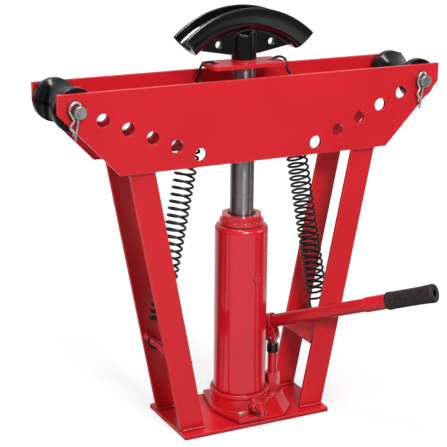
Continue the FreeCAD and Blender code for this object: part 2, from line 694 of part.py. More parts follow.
sketch = new_sketch(jack_base, "XY_Plane", CASTING_FLOOR)
add_polygon(sketch, [("-ear_corner", "-foot_half_width"), ("4", "-foot_half_width"), ("30", "-45"),
                     ("foot_half_length", "-9"), ("foot_half_length", "9"), ("ear_corner", "foot_half_width"),
                     ("-ear_corner - 2", "foot_half_width"), ("-37", "40"), ("-foot_half_length", "9"),
                     ("-foot_half_length", "-9"), ("-38", "-38")])
pad(jack_base, sketch, "foot_thick")
foot_half_width = size("foot_half_width")
dress(jack_base, "Fillet", "ear_tip_radius", lambda edge: along(edge, UP) and centre_of(edge).x != 4
      and abs(abs(centre_of(edge).y) - foot_half_width) < 0.05)
slope_foot = [("-2", "-61"), ("46", "-61"), ("58", "-48.8"), ("71.8", "-32"), ("76.8", "-5"), ("76.8", "6"),
              ("0", "6")]
slope_head = [("2", "-38"), ("52", "-19"), ("60", "-13"), ("67", "-9"), ("74", "-2"), ("75.5", "5.5"), ("2", "5.5")]
sketch = new_sketch(jack_base, "XY_Plane", CASTING_FLOOR)
add_polygon(sketch, slope_foot)
pad(jack_base, sketch, "slope_low - base_thick")
low_edge = new_sketch(jack_base, "XY_Plane", "slope_low")
add_polygon(low_edge, slope_foot)
high_edge = new_sketch(jack_base, "XY_Plane", "slope_high")
add_polygon(high_edge, slope_head)
slope_of_foot = jack_base.newObject("PartDesign::AdditiveLoft", "jack_base_slope")
slope_of_foot.Profile = low_edge
slope_of_foot.Sections = [high_edge]
slope_of_foot.Ruled = True
doc.recompute()


def lever_point(distance, across="0"):
    """A point of the floor plan at a distance along the lever from the pump axis."""
    return ("%s + (%s) * cos(lever_angle) - (%s) * sin(lever_angle)" % (PUMP_X, distance, across),
            "%s + (%s) * sin(lever_angle) + (%s) * cos(lever_angle)" % (PUMP_Y, distance, across))


sketch = new_sketch(jack_base, "XY_Plane", CASTING_FLOOR)
add_circle(sketch, PUMP_X, PUMP_Y, "pump_boss_radius")
pad(jack_base, sketch, "pump_boss_top - base_thick")
sketch = new_sketch(jack_base, "XY_Plane", CASTING_FLOOR)
bridge = [("0", "pump_boss_radius"), ("pump_reach", "pump_boss_radius"),
          ("pump_reach", "-pump_boss_radius"), ("0", "-pump_boss_radius")]
add_polygon(sketch, [("(%s) * cos(pump_angle) - (%s) * sin(pump_angle)" % (x, y),
                      "(%s) * sin(pump_angle) + (%s) * cos(pump_angle)" % (x, y)) for x, y in bridge])
pad(jack_base, sketch, "pump_boss_top - base_thick")
sketch = new_sketch(jack_base, "XY_Plane", CASTING_FLOOR)
lug_back, lug_front = "fulcrum_back - lug_half_length", "fulcrum_back + lug_half_length"
add_polygon(sketch, [lever_point(lug_back, "-lug_half_width"), lever_point(lug_front, "-lug_half_width"),
                     lever_point(lug_front, "lug_half_width"), lever_point(lug_back, "lug_half_width")])
pad(jack_base, sketch, "lug_top - base_thick")
sketch = new_sketch(jack_base, "XZ_Plane")
add_circle(sketch, "valve_offset", "valve_height", "valve_boss_radius")
pad(jack_base, sketch, "valve_boss_reach")

# the casting's seats for the tubes are cut clear again after its bosses and lugs
revolve(jack_base, [("0", "cylinder_floor"), (cylinder_seat, "cylinder_floor"), (cylinder_seat, "tube_floor"),
                    (tube_seat, "tube_floor"), (tube_seat, COLLAR_TOP + " + 10"), ("0", COLLAR_TOP + " + 10")],
        cut=True)
sketch = new_sketch(jack_base, "XY_Plane", CASTING_FLOOR)
for angle in EARS:
    x, y = polar("ear_hole_reach", angle)
    add_circle(sketch, x, y, "ear_hole_dia / 2")
pocket(jack_base, sketch, "foot_thick", back=True)
sketch = new_sketch(jack_base, "XY_Plane", CASTING_FLOOR)
for angle in SCREWS:
    x, y = polar("screw_reach", angle)
    add_circle(sketch, x, y, "screw_dia / 2 + joint_gap")
pocket(jack_base, sketch, "screw_depth + 1", back=True)
sketch = new_sketch(jack_base, "XY_Plane", "pump_stem_low")
add_circle(sketch, PUMP_X, PUMP_Y, "pump_stem_radius + joint_gap")
pocket(jack_base, sketch, "pump_boss_top - pump_stem_low", back=True)
sketch = new_sketch(jack_base, "XY_Plane", "arm_foot - 1")
add_polygon(sketch, [lever_point(lug_back + " - 1", "-arm_thick / 2 - cheek_gap"),
                     lever_point(lug_front + " + 1", "-arm_thick / 2 - cheek_gap"),
                     lever_point(lug_front + " + 1", "arm_thick / 2 + cheek_gap"),
                     lever_point(lug_back + " - 1", "arm_thick / 2 + cheek_gap")])
pocket(jack_base, sketch, "lug_top - arm_foot + 1", back=True)
sketch = new_sketch(jack_base, "XZ_Plane", "valve_inner - 0.5")
add_circle(sketch, "valve_offset", "valve_height", "valve_radius + running_fit")
pocket(jack_base, sketch, "valve_boss_reach - valve_inner + 1", back=True)

jack_base_solid = jack_base


def bored(body, tools):
    """A cast body with drilled passages taken out of it, under the body's own name."""
    label = body.Label
    doc.recompute()
    nodes.remove(body)
    body.Label = label + "_casting"
    fused = doc.addObject("Part::MultiFuse", label + "_passages")
    fused.Shapes = tools
    cut = doc.addObject("Part::Cut", label + "_bored")
    cut.Base = body
    cut.Tool = fused
    cut.Label = label
    nodes.append(cut)
    doc.recompute()
    if not 0 < cut.Shape.Volume < body.Shape.Volume:
        raise ValueError("%s: the passages cut nothing" % label)
    return cut


def drill(label, radius, start, direction, length):
    """A round hole as a cylinder that other pieces subtract."""
    tool = doc.addObject("Part::Cylinder", label)
    tool.setExpression("Radius", link(radius))
    tool.setExpression("Height", link(length))
    tool.Placement = FreeCAD.Placement(Vector(*[size(value) for value in start]),
                                       FreeCAD.Rotation(UP, direction))
    return tool


pump_way = Vector(math.cos(math.radians(size("pump_angle"))), math.sin(math.radians(size("pump_angle"))), 0)
lever_across = Vector(-math.sin(math.radians(size("lever_angle"))), math.cos(math.radians(size("lever_angle"))), 0)
foot_x, foot_y = lever_point("fulcrum_back", "-lug_half_width - 1")
jack_base = bored(jack_base, [
    drill("delivery_passage", "2.5", ("0", "0", "16"), pump_way, "pump_reach"),
    drill("delivery_seat", "4.5", ("0", "0", "19"), UP, "cylinder_floor - 19 + 1"),
    drill("delivery_riser", "2.5", ("0", "0", "16"), UP, "4"),
    drill("foot_pin_hole", "fulcrum_pin_radius + joint_gap", (foot_x, foot_y, "foot_pin_height"),
          lever_across, "2 * lug_half_width + 2"),
])

# Check balls. Steel balls in the delivery seat under the cylinder and at the foot of the pump.
check_balls = doc.addObject("Part::Feature", "check_balls")
check_balls.Label = "check_balls"
ball = 4.0
check_balls.Shape = Part.makeCompound([
    Part.makeSphere(ball, Vector(0, 0, 19 + ball)),
    Part.makeSphere(3.5, Vector(size(PUMP_X), size(PUMP_Y), size("pump_stem_low") + 3.5))])
nodes.append(check_balls)

# Holding screws. Four countersunk screws from below the floor plate into the casting.
screws = doc.addObject("Part::Feature", "jack_screws")
screws.Label = "jack_screws"
screw_solids = []
for angle in SCREWS:
    x, y = [size(text) for text in polar("screw_reach", angle)]
    shank, head_radius = size("screw_dia") / 2, size("screw_head_dia") / 2
    head_rise = head_radius - shank
    head_solid = Part.makeCone(head_radius, shank, head_rise, Vector(x, y, 0))
    shank_solid = Part.makeCylinder(shank, size("base_thick + screw_depth") - head_rise, Vector(x, y, head_rise))
    screw_solids.append(head_solid.fuse(shank_solid).removeSplitter())
screws.Shape = Part.makeCompound(screw_solids)
nodes.append(screws)

# Base gasket and reservoir tube. The tube stands on the gasket inside the collar, and closes
# in at its shoulder.
ring("base_gasket", "tube_outer - tube_wall", "tube_outer", "tube_floor", "tube_floor + gasket_thick")
tube_low = "(tube_floor + gasket_thick)"
tube_inner = "(tube_outer - tube_wall)"
mouth_inner = "(skirt_radius + joint_gap)"
reservoir = turned("reservoir_tube", [
    (tube_inner, tube_low), ("tube_outer", tube_low), ("tube_outer", MOUTH), (mouth_inner, MOUTH),
    (mouth_inner, MOUTH + " - tube_wall"), (tube_inner, MOUTH + " - tube_wall")])
outer_edge = size("tube_outer")
dress(reservoir, "Fillet", "tube_outer - ring_radius + 1.2",
      lambda edge: is_circle(edge, outer_edge, size(MOUTH)))
before = solid_volume(reservoir)
sketch = new_sketch(reservoir, "XZ_Plane")
add_circle(sketch, "0", "plug_height", "plug_stem_dia / 2 + joint_gap")
pocket(reservoir, sketch, "tube_outer + 1", back=True)
place(reservoir, turn=FreeCAD.Rotation(UP, size("plug_angle + 90")))

# Filler plug. A rubber plug pushed into the reservoir wall.
plug = new_body("filler_plug")
revolve(plug, [("0", "tube_outer - tube_wall - 1"), ("plug_stem_dia / 2", "tube_outer - tube_wall - 1"),
               ("plug_stem_dia / 2", "tube_outer"), ("plug_dia / 2", "tube_outer"),
               ("plug_dia / 2", "tube_outer + plug_proud"), ("0", "tube_outer + plug_proud")])
plug_rim = size("tube_outer + plug_proud")
dress(plug, "Fillet", "1", lambda edge: is_circle(edge, size("plug_dia / 2"), plug_rim))
place(plug, z="plug_height", turn=FreeCAD.Rotation(UP, size("plug_angle")).multiply(
    FreeCAD.Rotation(Vector(0, 1, 0), 90)))

# Pressure cylinder, piston and seals. The thick tube inside the reservoir, the piston on the
# ram's foot and the rubber seal in the piston's groove.
ring("pressure_cylinder", "cylinder_bore", "cylinder_outer", "cylinder_floor", NUT_LAND + " - cylinder_gap")
piston_radius = "(cylinder_bore - running_fit)"
groove_floor = "(cylinder_bore - seal_depth)"
seal_low = "(%s + 10)" % PISTON_LOW
turned("piston", [("0", PISTON_LOW), (piston_radius, PISTON_LOW), (piston_radius, seal_low),
                  (groove_floor, seal_low), (groove_floor, seal_low + " + seal_rise"),
                  (piston_radius, seal_low + " + seal_rise"), (piston_radius, PISTON_TOP), ("0", PISTON_TOP)])
ring("piston_seal", groove_floor, piston_radius, seal_low, seal_low + " + seal_rise")

# Ram. A polished rod with a stepped end that goes through the spring bracket and locates the die.
ram = turned("ram_rod", [("0", PISTON_TOP), ("ram_radius", PISTON_TOP), ("ram_radius", BRACKET_LOW),
                         ("spigot_radius", BRACKET_LOW), ("spigot_radius", SEAT_TOP + " + spigot_rise"),
                         ("0", SEAT_TOP + " + spigot_rise")])
dress(ram, "Chamfer", "1.5", lambda edge: is_circle(edge, size("spigot_radius"), size(SEAT_TOP + " + spigot_rise")))

# Top gasket, top ring and top nut. The nut screws on the pressure cylinder and clamps the
# reservoir tube down through the ring. Its skirt holds the thread and its land guides the ram.
ring("top_gasket", "skirt_radius + joint_gap", "ring_radius - 0.5", MOUTH, RING_LOW)
top_ring = ring("top_ring", "skirt_radius + joint_gap", "ring_radius", RING_LOW, "ring_top")
dress(top_ring, "Fillet", "1", lambda edge: is_circle(edge, size("ring_radius"), size("ring_top")))
top_nut = new_body("top_nut")
sketch = new_sketch(top_nut, "XY_Plane", "ring_top")
add_polygon(sketch, hexagon("0", "0", "nut_flats", "nut_turn"))
pad(top_nut, sketch, "nut_rise")
skirt_low = "(%s - skirt_drop)" % MOUTH
revolve(top_nut, [("cylinder_outer + joint_gap", skirt_low), ("skirt_radius", skirt_low),
                  ("skirt_radius", "ring_top + 1"), ("0", "ring_top + 1"), ("0", NUT_LAND),
                  ("cylinder_outer + joint_gap", NUT_LAND)])
guide = "(ram_radius + running_fit)"
wiper_low = "(%s - wiper_rise)" % NUT_TOP
revolve(top_nut, [("0", NUT_LAND + " - 1"), (guide, NUT_LAND + " - 1"), (guide, wiper_low),
                  ("ram_radius + wiper_wall + joint_gap", wiper_low),
                  ("ram_radius + wiper_wall + joint_gap", NUT_TOP + " + 1"), ("0", NUT_TOP + " + 1")], cut=True)
revolve(top_nut, [("nut_flats / 2 + 0.4", NUT_TOP), ("nut_flats / 2 + 9", NUT_TOP),
                  ("nut_flats / 2 + 9", NUT_TOP + " - 4.4")], cut=True)
ring("wiper_seal", guide, "ram_radius + wiper_wall", wiper_low, NUT_TOP + " - 0.3")

# Spring bracket. A plate on the ram's shoulder with a hole for a spring hook at either end and
# a raised round seat for the die.
bracket = new_body("spring_bracket")
sketch = new_sketch(bracket, "XY_Plane", BRACKET_LOW)
half_x, half_y = "bracket_length / 2", "bracket_width / 2"
add_polygon(sketch, [("-" + half_x, "-" + half_y), (half_x, "-" + half_y),
                     (half_x, half_y), ("-" + half_x, half_y)])
pad(bracket, sketch, "bracket_thick")
dress(bracket, "Fillet", "bracket_corner", lambda edge: along(edge, UP))
sketch = new_sketch(bracket, "XY_Plane", BRACKET_TOP)
add_circle(sketch, "0", "0", "seat_radius")
pad(bracket, sketch, "seat_rise")
sketch = new_sketch(bracket, "XY_Plane")
add_circle(sketch, "0", "0", "spigot_radius + joint_gap")
for sign in ("", "-"):
    add_circle(sketch, sign + HOOK_HOLE, "0", "bracket_hole_dia / 2")
pocket(bracket, sketch)

# Bending die. A cast trough of a third of a circle whose groove fits half of the pipe, with a
# web and a round boss below. The boss has a socket that drops over the ram's spigot.
die = new_body("bending_die")
trough = new_sketch(die, "YZ_Plane")
half = "die_width / 2"
add_polygon(trough, [("-" + half, DIE_BACK), (half, DIE_BACK), (half, "die_lip"), ("-" + half, "die_lip")])
sweep = die.newObject("PartDesign::Revolution", "bending_die_sweep")
sweep.Profile = trough
sweep.ReferenceAxis = (trough, ["H_Axis"])
sweep.Midplane = True
sweep.setExpression("Angle", link("2 * die_half_angle"))
die_back = size(DIE_BACK)
dress(die, "Fillet", "die_back_round", lambda edge: is_circle(edge, die_back))
for part_of_groove in ("round", "straight"):
    before = solid_volume(die)
    sketch = new_sketch(die, "YZ_Plane")
    if part_of_groove == "round":
        add_circle(sketch, "0", GROOVE_CENTRE, "groove_radius")
    else:
        add_polygon(sketch, [("-groove_radius", GROOVE_CENTRE), ("groove_radius", GROOVE_CENTRE),
                             ("groove_radius", "die_lip + 20"), ("-groove_radius", "die_lip + 20")])
    groove = die.newObject("PartDesign::Groove", "bending_die_" + part_of_groove)
    groove.Profile = sketch
    groove.ReferenceAxis = (sketch, ["H_Axis"])
    check_cut(die, before)
die_lip = size("die_lip")
dress(die, "Fillet", "1.2", lambda edge: is_circle(edge, die_lip))
sketch = new_sketch(die, "XZ_Plane")
low = "(" + DIE_DROP + " + web_gap)"


def on_sweep(depth, angle):
    """A point of the die's side view, at a depth below its underside."""
    return "(%s - %s) * sin(%s)" % (DIE_BACK, depth, angle), "(%s - %s) * cos(%s)" % (DIE_BACK, depth, angle)


corners = [("-22", low), ("22", low), on_sweep("web_side_depth", "web_side_angle"), on_sweep("-1.8", "40.2")]
corners += [on_sweep("-6", str(step)) for step in (38, 19, 0, -19, -38)]
corners += [on_sweep("-1.8", "(-40.2)"), on_sweep("web_side_depth", "(-web_side_angle)")]
add_polygon(sketch, corners)
pad(die, sketch, "web_thick", both=True)
sketch = new_sketch(die, "XY_Plane", DIE_DROP)
add_circle(sketch, "0", "0", "seat_radius")
pad(die, sketch, "boss_rise + 4.2")
sketch = new_sketch(die, "XY_Plane", DIE_DROP)
add_circle(sketch, "0", "0", "spigot_radius + spigot_gap")
pocket(die, sketch, "spigot_rise + spigot_gap", back=True)
sketch = new_sketch(die, "XZ_Plane")
for turn in ("web_hole_angle", "(-web_hole_angle)"):
    x, z = on_sweep("web_hole_depth", turn)
    add_circle(sketch, x, z, "web_hole_dia / 2")
pocket(die, sketch)
place(die, z=DIE_CENTRE)


# Return springs. Each is one wire: a ring through the cross plate, the coil, and a hook over
# the end of the spring bracket. They pull the ram back down when the release valve is open.
def biarc(start, start_way, end, end_way):
    """Two tangent arcs between two points with given directions."""
    chord = end - start
    both_ways = start_way + end_way
    spread = 2 * (1 - start_way.dot(end_way))
    along_chord = chord.dot(both_ways)
    if spread < 1e-9:
        reach = chord.dot(chord) / (2 * along_chord)
    else:
        reach = (-along_chord + math.sqrt(along_chord ** 2 + spread * chord.dot(chord))) / spread
    first_corner = start + start_way * reach
    last_corner = end - end_way * reach
    joint = (first_corner + last_corner) * 0.5
    return arc_by_corner(start, first_corner, joint) + arc_by_corner(joint, last_corner, end)


def arc_by_corner(start, corner, end):
    """The arc that touches both lines of a symmetrical corner."""
    middle = (start + end) * 0.5
    half_chord = (end - start).Length / 2
    rise = (corner - middle).Length
    if rise < 1e-6 * half_chord:
        return [Part.makeLine(start, end)]
    bend = math.atan2(rise, half_chord)
    crown = middle + (corner - middle) * (math.tan(bend / 2) / math.tan(bend))
    return [Part.Arc(start, crown, end).toShape()]


def spring_stations():
    """Points and directions along the right-hand spring, from its lower ring to its upper hook."""
    low = "(cross_low + coil_start)"
    foot = Vector(size("%s + %s * (%s - base_thick) + coil_out" % (LEG_FOOT, LEG_SLOPE, low)), 0, size(low))
    crest = Vector(size(HOOK_HOLE + " + coil_aside"), 0, size(BRACKET_LOW + " - coil_drop"))
    axis = (crest - foot).normalize()
    outward = Vector(axis.z, 0, -axis.x)
    sideways = Vector(0, 1, 0)
    radius, turns = size("coil_radius"), size("coil_count")
    hook = size("hook_radius")
    bearing = hook - size("wire_dia") / 2 - size("hook_gap")

    hole_side = size("hook_hole_edge - 1")
    ring_centre = (cross_inner + cross_out * size("cross_width - 1")
                   + cross_up * math.sqrt(bearing ** 2 - hole_side ** 2))
    stations = []
    for angle in (25, -45, -115, -180):
        turn = math.radians(angle)
        stations.append((ring_centre + Vector(math.cos(turn), 0, math.sin(turn)) * hook,
                         Vector(math.sin(turn), 0, -math.cos(turn))))
    stations.append((foot - outward * (radius + 0.6) - axis * 6.5, axis))

    begin, finish = math.radians(204), math.radians(-90 + 360 * turns)
    climb = (crest - foot).Length / (finish - begin)
    steps = int(round((finish - begin) / math.pi))
    for step in range(steps + 1):
        turn = begin + (finish - begin) * step / steps
        circle_way = outward * (-math.sin(turn)) + sideways * math.cos(turn)
        spot = (foot + (outward * math.cos(turn) + sideways * math.sin(turn)) * radius
                + axis * (climb * (turn - begin)))
        stations.append((spot, (circle_way * radius + axis * climb).normalize()))

    rest = size(HOOK_HOLE) + hook
    hole_edge = hook - size("bracket_hole_dia") / 2
    hook_height = size(BRACKET_TOP) - math.sqrt(bearing ** 2 - hole_edge ** 2)
    stations.append((Vector(rest + hook, 0, hook_height - 4), UP))
    stations.append((Vector(rest + hook, 0, hook_height), UP))
    stations.append((Vector(rest, 0, hook_height + hook), Vector(-1, 0, 0)))
    stations.append((Vector(rest - hook, 0, hook_height), UP * -1))
    stations.append((Vector(rest - hook, 0, hook_height - 4), UP * -1))
    return stations


def spring_path():
    edges = []
    stations = spring_stations()
    for (start, start_way), (end, end_way) in zip(stations, stations[1:]):
        edges += biarc(start, start_way, end, end_way)
    return edges


def least_gap(edges, wire):
    """Smallest gap between parts of one wire that are not next to each other along it."""
    points, travelled = [], 0.0
    for edge in edges:
        count = max(1, int(edge.Length / 1.5))
        for spot in edge.discretize(count + 1)[:-1]:
            points.append((travelled, spot.x, spot.y, spot.z))
            travelled += edge.Length / count
    nearest = 1e9
    for index, (here, x, y, z) in enumerate(points):
        for there, other_x, other_y, other_z in points[index + 1:]:
            if there - here < 6 * wire or abs(other_z - z) > 25:
                continue
            nearest = min(nearest, (other_x - x) ** 2 + (other_y - y) ** 2 + (other_z - z) ** 2)
    return math.sqrt(nearest) - wire


path = spring_path()
tightest = min(edge.Curve.Radius for edge in path if isinstance(edge.Curve, Part.Circle))
spring_solid = wire_solid(path, size("wire_dia") / 2)
length = sum(edge.Length for edge in path)
expected = length * math.pi * size("wire_dia") ** 2 / 4
print("spring: least gap to itself %.2f mm, tightest bend %.2f mm, volume over section x length %.4f"
      % (least_gap(path, size("wire_dia")), tightest, spring_solid.Volume / expected))
for side_name, half_turn in (("left", 180), ("right", 0)):
    spring = doc.addObject("Part::Feature", "return_spring_" + side_name)
    spring.Label = "return_spring_" + side_name
    spring.Shape = spring_solid
    spring.Placement = FreeCAD.Placement(Vector(), FreeCAD.Rotation(UP, half_turn))
    nodes.append(spring)

# Pump cylinder. A hexagon screwed in the casting with a long neck that guides the plunger.
pump = new_body("pump_cylinder")
sketch = new_sketch(pump, "XY_Plane", "pump_boss_top")
add_polygon(sketch, hexagon("0", "0", "gland_flats", "8"))
pad(pump, sketch, "gland_rise")
bore = "(plunger_radius + running_fit)"
ball_room = "(pump_stem_low + 7.5)"
revolve(pump, [("0", "pump_stem_low"), ("pump_stem_radius", "pump_stem_low"),
               ("pump_stem_radius", "pump_boss_top + 1"), ("neck_radius", "pump_boss_top + 1"),
               ("neck_radius", NECK_TOP), ("0", NECK_TOP)])
revolve(pump, [("0", "pump_stem_low - 1"), ("3.8", "pump_stem_low - 1"), ("3.8", ball_room), (bore, ball_room),
               (bore, NECK_TOP + " + 1"), ("0", NECK_TOP + " + 1")], cut=True)
place(pump, x=PUMP_X, y=PUMP_Y)

# Gland nut and pump seal. The black nut screwed over the end of the neck, and the seal below it.
seal_top = "(" + NECK_TOP + " + pump_seal_rise)"
gland_nut = turned("pump_nut", [
    ("neck_radius + joint_gap", NECK_TOP + " - gland_nut_lap"), ("gland_nut_radius", NECK_TOP + " - gland_nut_lap"),
    ("gland_nut_radius", GLAND_NUT_TOP), (bore, GLAND_NUT_TOP), (bore, seal_top),
    ("neck_radius + joint_gap", seal_top)])
dress(gland_nut, "Chamfer", "0.8", lambda edge: is_circle(edge, size("gland_nut_radius"), size(GLAND_NUT_TOP)))
place(gland_nut, x=PUMP_X, y=PUMP_Y)
seal = ring("pump_seal", bore, "neck_radius", NECK_TOP, seal_top)
place(seal, x=PUMP_X, y=PUMP_Y)

# Pump plunger. A round rod whose flat eye has a slot, so that the pin can follow its arc.
lever_turn = FreeCAD.Rotation(UP, size("lever_angle"))
plunger = new_body("pump_plunger")
sketch = new_sketch(plunger, "XY_Plane", "plunger_low")
add_circle(sketch, "0", "0", "plunger_radius")
pad(plunger, sketch, ROD_TOP + " - plunger_low")
sketch = new_sketch(plunger, "XZ_Plane")
add_polygon(sketch, [("-plunger_radius", ROD_TOP + " - 0.01"), ("plunger_radius", ROD_TOP + " - 0.01"),
                     ("plunger_radius", PLUNGER_PIN), ("-plunger_radius", PLUNGER_PIN)])
pad(plunger, sketch, "eye_thick", both=True)
sketch = new_sketch(plunger, "XZ_Plane")
add_circle(sketch, "0", PLUNGER_PIN, "eye_radius")
pad(plunger, sketch, "eye_thick", both=True)
slot_radius = "(plunger_pin_radius + slot_gap)"
for shift in ("slot_half", "-slot_half"):
    sketch = new_sketch(plunger, "XZ_Plane")
    add_circle(sketch, shift, PLUNGER_PIN, slot_radius)
    pocket(plunger, sketch)
sketch = new_sketch(plunger, "XZ_Plane")
add_polygon(sketch, [("-slot_half", PLUNGER_PIN + " - " + slot_radius),
                     ("slot_half", PLUNGER_PIN + " - " + slot_radius),
                     ("slot_half", PLUNGER_PIN + " + " + slot_radius),
                     ("-slot_half", PLUNGER_PIN + " + " + slot_radius)])
pocket(plunger, sketch)
place(plunger, x=PUMP_X, y=PUMP_Y, turn=lever_turn)

# Fulcrum arm and foot pin. A flat link that stands in the casting's lug and carries the
# fulcrum pin in its upper eye.
arm = new_body("fulcrum_arm")
sketch = new_sketch(arm, "XZ_Plane")
half = "arm_width / 2"
add_polygon(sketch, [("fulcrum_back - " + half, "arm_foot"), ("fulcrum_back + " + half, "arm_foot"),
                     ("fulcrum_back + " + half, FULCRUM), ("fulcrum_back - " + half, FULCRUM)])
pad(arm, sketch, "arm_thick", both=True)
sketch = new_sketch(arm, "XZ_Plane")
add_circle(sketch, "fulcrum_back", FULCRUM, half)
pad(arm, sketch, "arm_thick", both=True)
sketch = new_sketch(arm, "XZ_Plane")
add_circle(sketch, "fulcrum_back", FULCRUM, "fulcrum_pin_radius + running_fit")
add_circle(sketch, "fulcrum_back", "foot_pin_height", "fulcrum_pin_radius + joint_gap")
pocket(arm, sketch)
place(arm, x=PUMP_X, y=PUMP_Y, turn=lever_turn)

foot_pin = new_body("foot_pin")
sketch = new_sketch(foot_pin, "XZ_Plane")
add_circle(sketch, "fulcrum_back", "foot_pin_height", "fulcrum_pin_radius")
pad(foot_pin, sketch, "2 * lug_half_width + 1", both=True)
place(foot_pin, x=PUMP_X, y=PUMP_Y, turn=lever_turn)

# Lever. Two cheeks over the arm and the plunger's eye, and the socket for the handle. The
# socket's axis is tilted, and its floor stops the handle.
lever = new_body("pump_lever")
sketch = new_sketch(lever, "XZ_Plane")
cheek = [("fulcrum_back - 8.5", FULCRUM + " - 4"), ("fulcrum_back - 4.5", FULCRUM + " - 8"),
         ("-9", PLUNGER_PIN + " - 1.5"), ("-7.5", PLUNGER_PIN + " - 4.5"), ("-4", PLUNGER_PIN + " - 7"),
         ("4", PLUNGER_PIN + " - 7"), ("7.5", PLUNGER_PIN + " - 3.5"),
         ("7.5", PLUNGER_PIN + " + 5"), ("5", HANDLE_HEIGHT + " - 12"), ("-2", HANDLE_HEIGHT),
         ("socket_back + 4", HANDLE_HEIGHT + " - 3"), ("socket_back", HANDLE_HEIGHT + " - 3.5"),
         ("fulcrum_back - 3", FULCRUM + " + 9"), ("fulcrum_back - 8.5", FULCRUM + " + 4")]
add_polygon(sketch, cheek)
pad(lever, sketch, "2 * " + CHEEK_OUTER, both=True)
sketch = new_sketch(lever, "XZ_Plane")
reach_low, reach_high = "fulcrum_back - 20", "socket_front + 30"
add_polygon(sketch, [(reach_low, PLUNGER_PIN + " - 20"), (reach_high, PLUNGER_PIN + " - 20"),
                     (reach_high, HANDLE_HEIGHT + " + 40"), (reach_low, HANDLE_HEIGHT + " + 40")])
before = solid_volume(lever)
gap = lever.newObject("PartDesign::Pocket", "pump_lever_gap")
gap.Profile = sketch
gap.Midplane = True
gap.setExpression("Length", link("2 * " + CHEEK_INNER))
check_cut(lever, before)
lever_holes = doc.addObject("Part::MultiFuse", "pump_lever_holes")
tilt = FreeCAD.Vector(math.cos(math.radians(size("handle_tilt"))), 0, math.sin(math.radians(size("handle_tilt"))))
handle_root = Vector(0, 0, size(HANDLE_HEIGHT))


def tilted(label, radius, start, length):
    """A cylinder along the handle's axis, in the lever's own frame."""
    item = doc.addObject("Part::Cylinder", label)
    item.setExpression("Radius", link(radius))
    item.setExpression("Height", link(length))
    item.Placement = FreeCAD.Placement(handle_root + tilt * size(start), FreeCAD.Rotation(UP, tilt))
    return item


def cross_hole(label, radius, along_lever, height):
    item = doc.addObject("Part::Cylinder", label)
    item.setExpression("Radius", link(radius))
    item.setExpression("Height", link("2 * " + CHEEK_OUTER + " + 10"))
    item.Placement = FreeCAD.Placement(Vector(size(along_lever), size(CHEEK_OUTER) + 5, size(height)),
                                       FreeCAD.Rotation(Vector(1, 0, 0), 90))
    return item


lever.Label = "pump_lever_cheeks"
nodes.remove(lever)
socket_skin = tilted("pump_lever_socket", "socket_outer", "socket_back", "socket_front - socket_back")
lever_holes.Shapes = [
    tilted("pump_lever_bore", HANDLE_BORE, SOCKET_SEAT, "socket_front - socket_back + 20"),
    cross_hole("pump_lever_fulcrum", "fulcrum_pin_radius + 0.02", "fulcrum_back", FULCRUM),
    cross_hole("pump_lever_pin_hole", "plunger_pin_radius + 0.02", "0", PLUNGER_PIN)]
lever_blank = doc.addObject("Part::Fuse", "pump_lever_blank")
lever_blank.Base = lever
lever_blank.Tool = socket_skin
lever_cut = doc.addObject("Part::Cut", "pump_lever_piece")
lever_cut.Base = lever_blank
lever_cut.Tool = lever_holes
lever_cut.Label = "pump_lever"
place(lever_cut, x=PUMP_X, y=PUMP_Y, turn=lever_turn)
nodes.append(lever_cut)


# Lever pins. Pressed in the cheeks: the fulcrum pin turns in the arm, and the plunger pin rides
# in the slot of the plunger's eye.
for label, radius, distance, height in (
        ("fulcrum_pin", "fulcrum_pin_radius", "fulcrum_back", FULCRUM),
        ("plunger_pin", "plunger_pin_radius", "0", PLUNGER_PIN)):
    body = new_body(label)
    sketch = new_sketch(body, "XZ_Plane")
    add_circle(sketch, distance, height, radius)
    pad(body, sketch, "2 * (%s + pin_overhang)" % CHEEK_OUTER, both=True)
    ends = size(CHEEK_OUTER + " + pin_overhang")
    dress(body, "Chamfer", "0.6", lambda edge: isinstance(edge.Curve, Part.Circle))
    place(body, x=PUMP_X, y=PUMP_Y, turn=lever_turn)


# Handle. The lower tube slides in the socket, the upper tube slides over the lower one, and the
# grip is pushed on the upper tube.
def on_handle(body, start):
    """Put a turned piece on the handle's axis, at a distance from the lever's root."""
    turn = lever_turn.multiply(FreeCAD.Rotation(UP, tilt))
    x, y = lever_point("(%s) * cos(handle_tilt)" % start)
    place(body, x=x, y=y, z=HANDLE_HEIGHT + " + (%s) * sin(handle_tilt)" % start, turn=turn)


lower_length = "(upper_tube_start + tube_overlap - %s)" % SOCKET_SEAT
lower = ring("handle_lower_tube", "lower_tube_radius - handle_wall", "lower_tube_radius", "0", lower_length)
dress(lower, "Chamfer", "0.6", lambda edge: is_circle(edge, size("lower_tube_radius")))
on_handle(lower, SOCKET_SEAT)

# the dimpled stop inside the upper tube rests on the end of the lower tube
upper_inner = "(lower_tube_radius + handle_fit)"
upper_length = "(grip_end - grip_cap - upper_tube_start)"
upper = turned("handle_upper_tube", [
    (upper_inner, "0"), ("upper_tube_radius", "0"), ("upper_tube_radius", upper_length),
    (upper_inner, upper_length), (upper_inner, "tube_overlap + 3"), ("lower_tube_radius - 1.5", "tube_overlap + 3"),
    ("lower_tube_radius - 1.5", "tube_overlap"), (upper_inner, "tube_overlap")])
dress(upper, "Chamfer", "0.5", lambda edge: is_circle(edge, size("upper_tube_radius"), 0))
on_handle(upper, "upper_tube_start")

grip_length = "(grip_end - grip_start)"
grip = turned("handle_grip", [
    ("upper_tube_radius + joint_gap", "0"), ("grip_radius", "0"), ("grip_radius", grip_length),
    ("grip_hole_radius", grip_length), ("grip_hole_radius", grip_length + " - grip_cap"),
    ("upper_tube_radius + joint_gap", grip_length + " - grip_cap")])
dress(grip, "Fillet", "1", lambda edge: is_circle(edge, size("grip_radius")))
on_handle(grip, "grip_start")

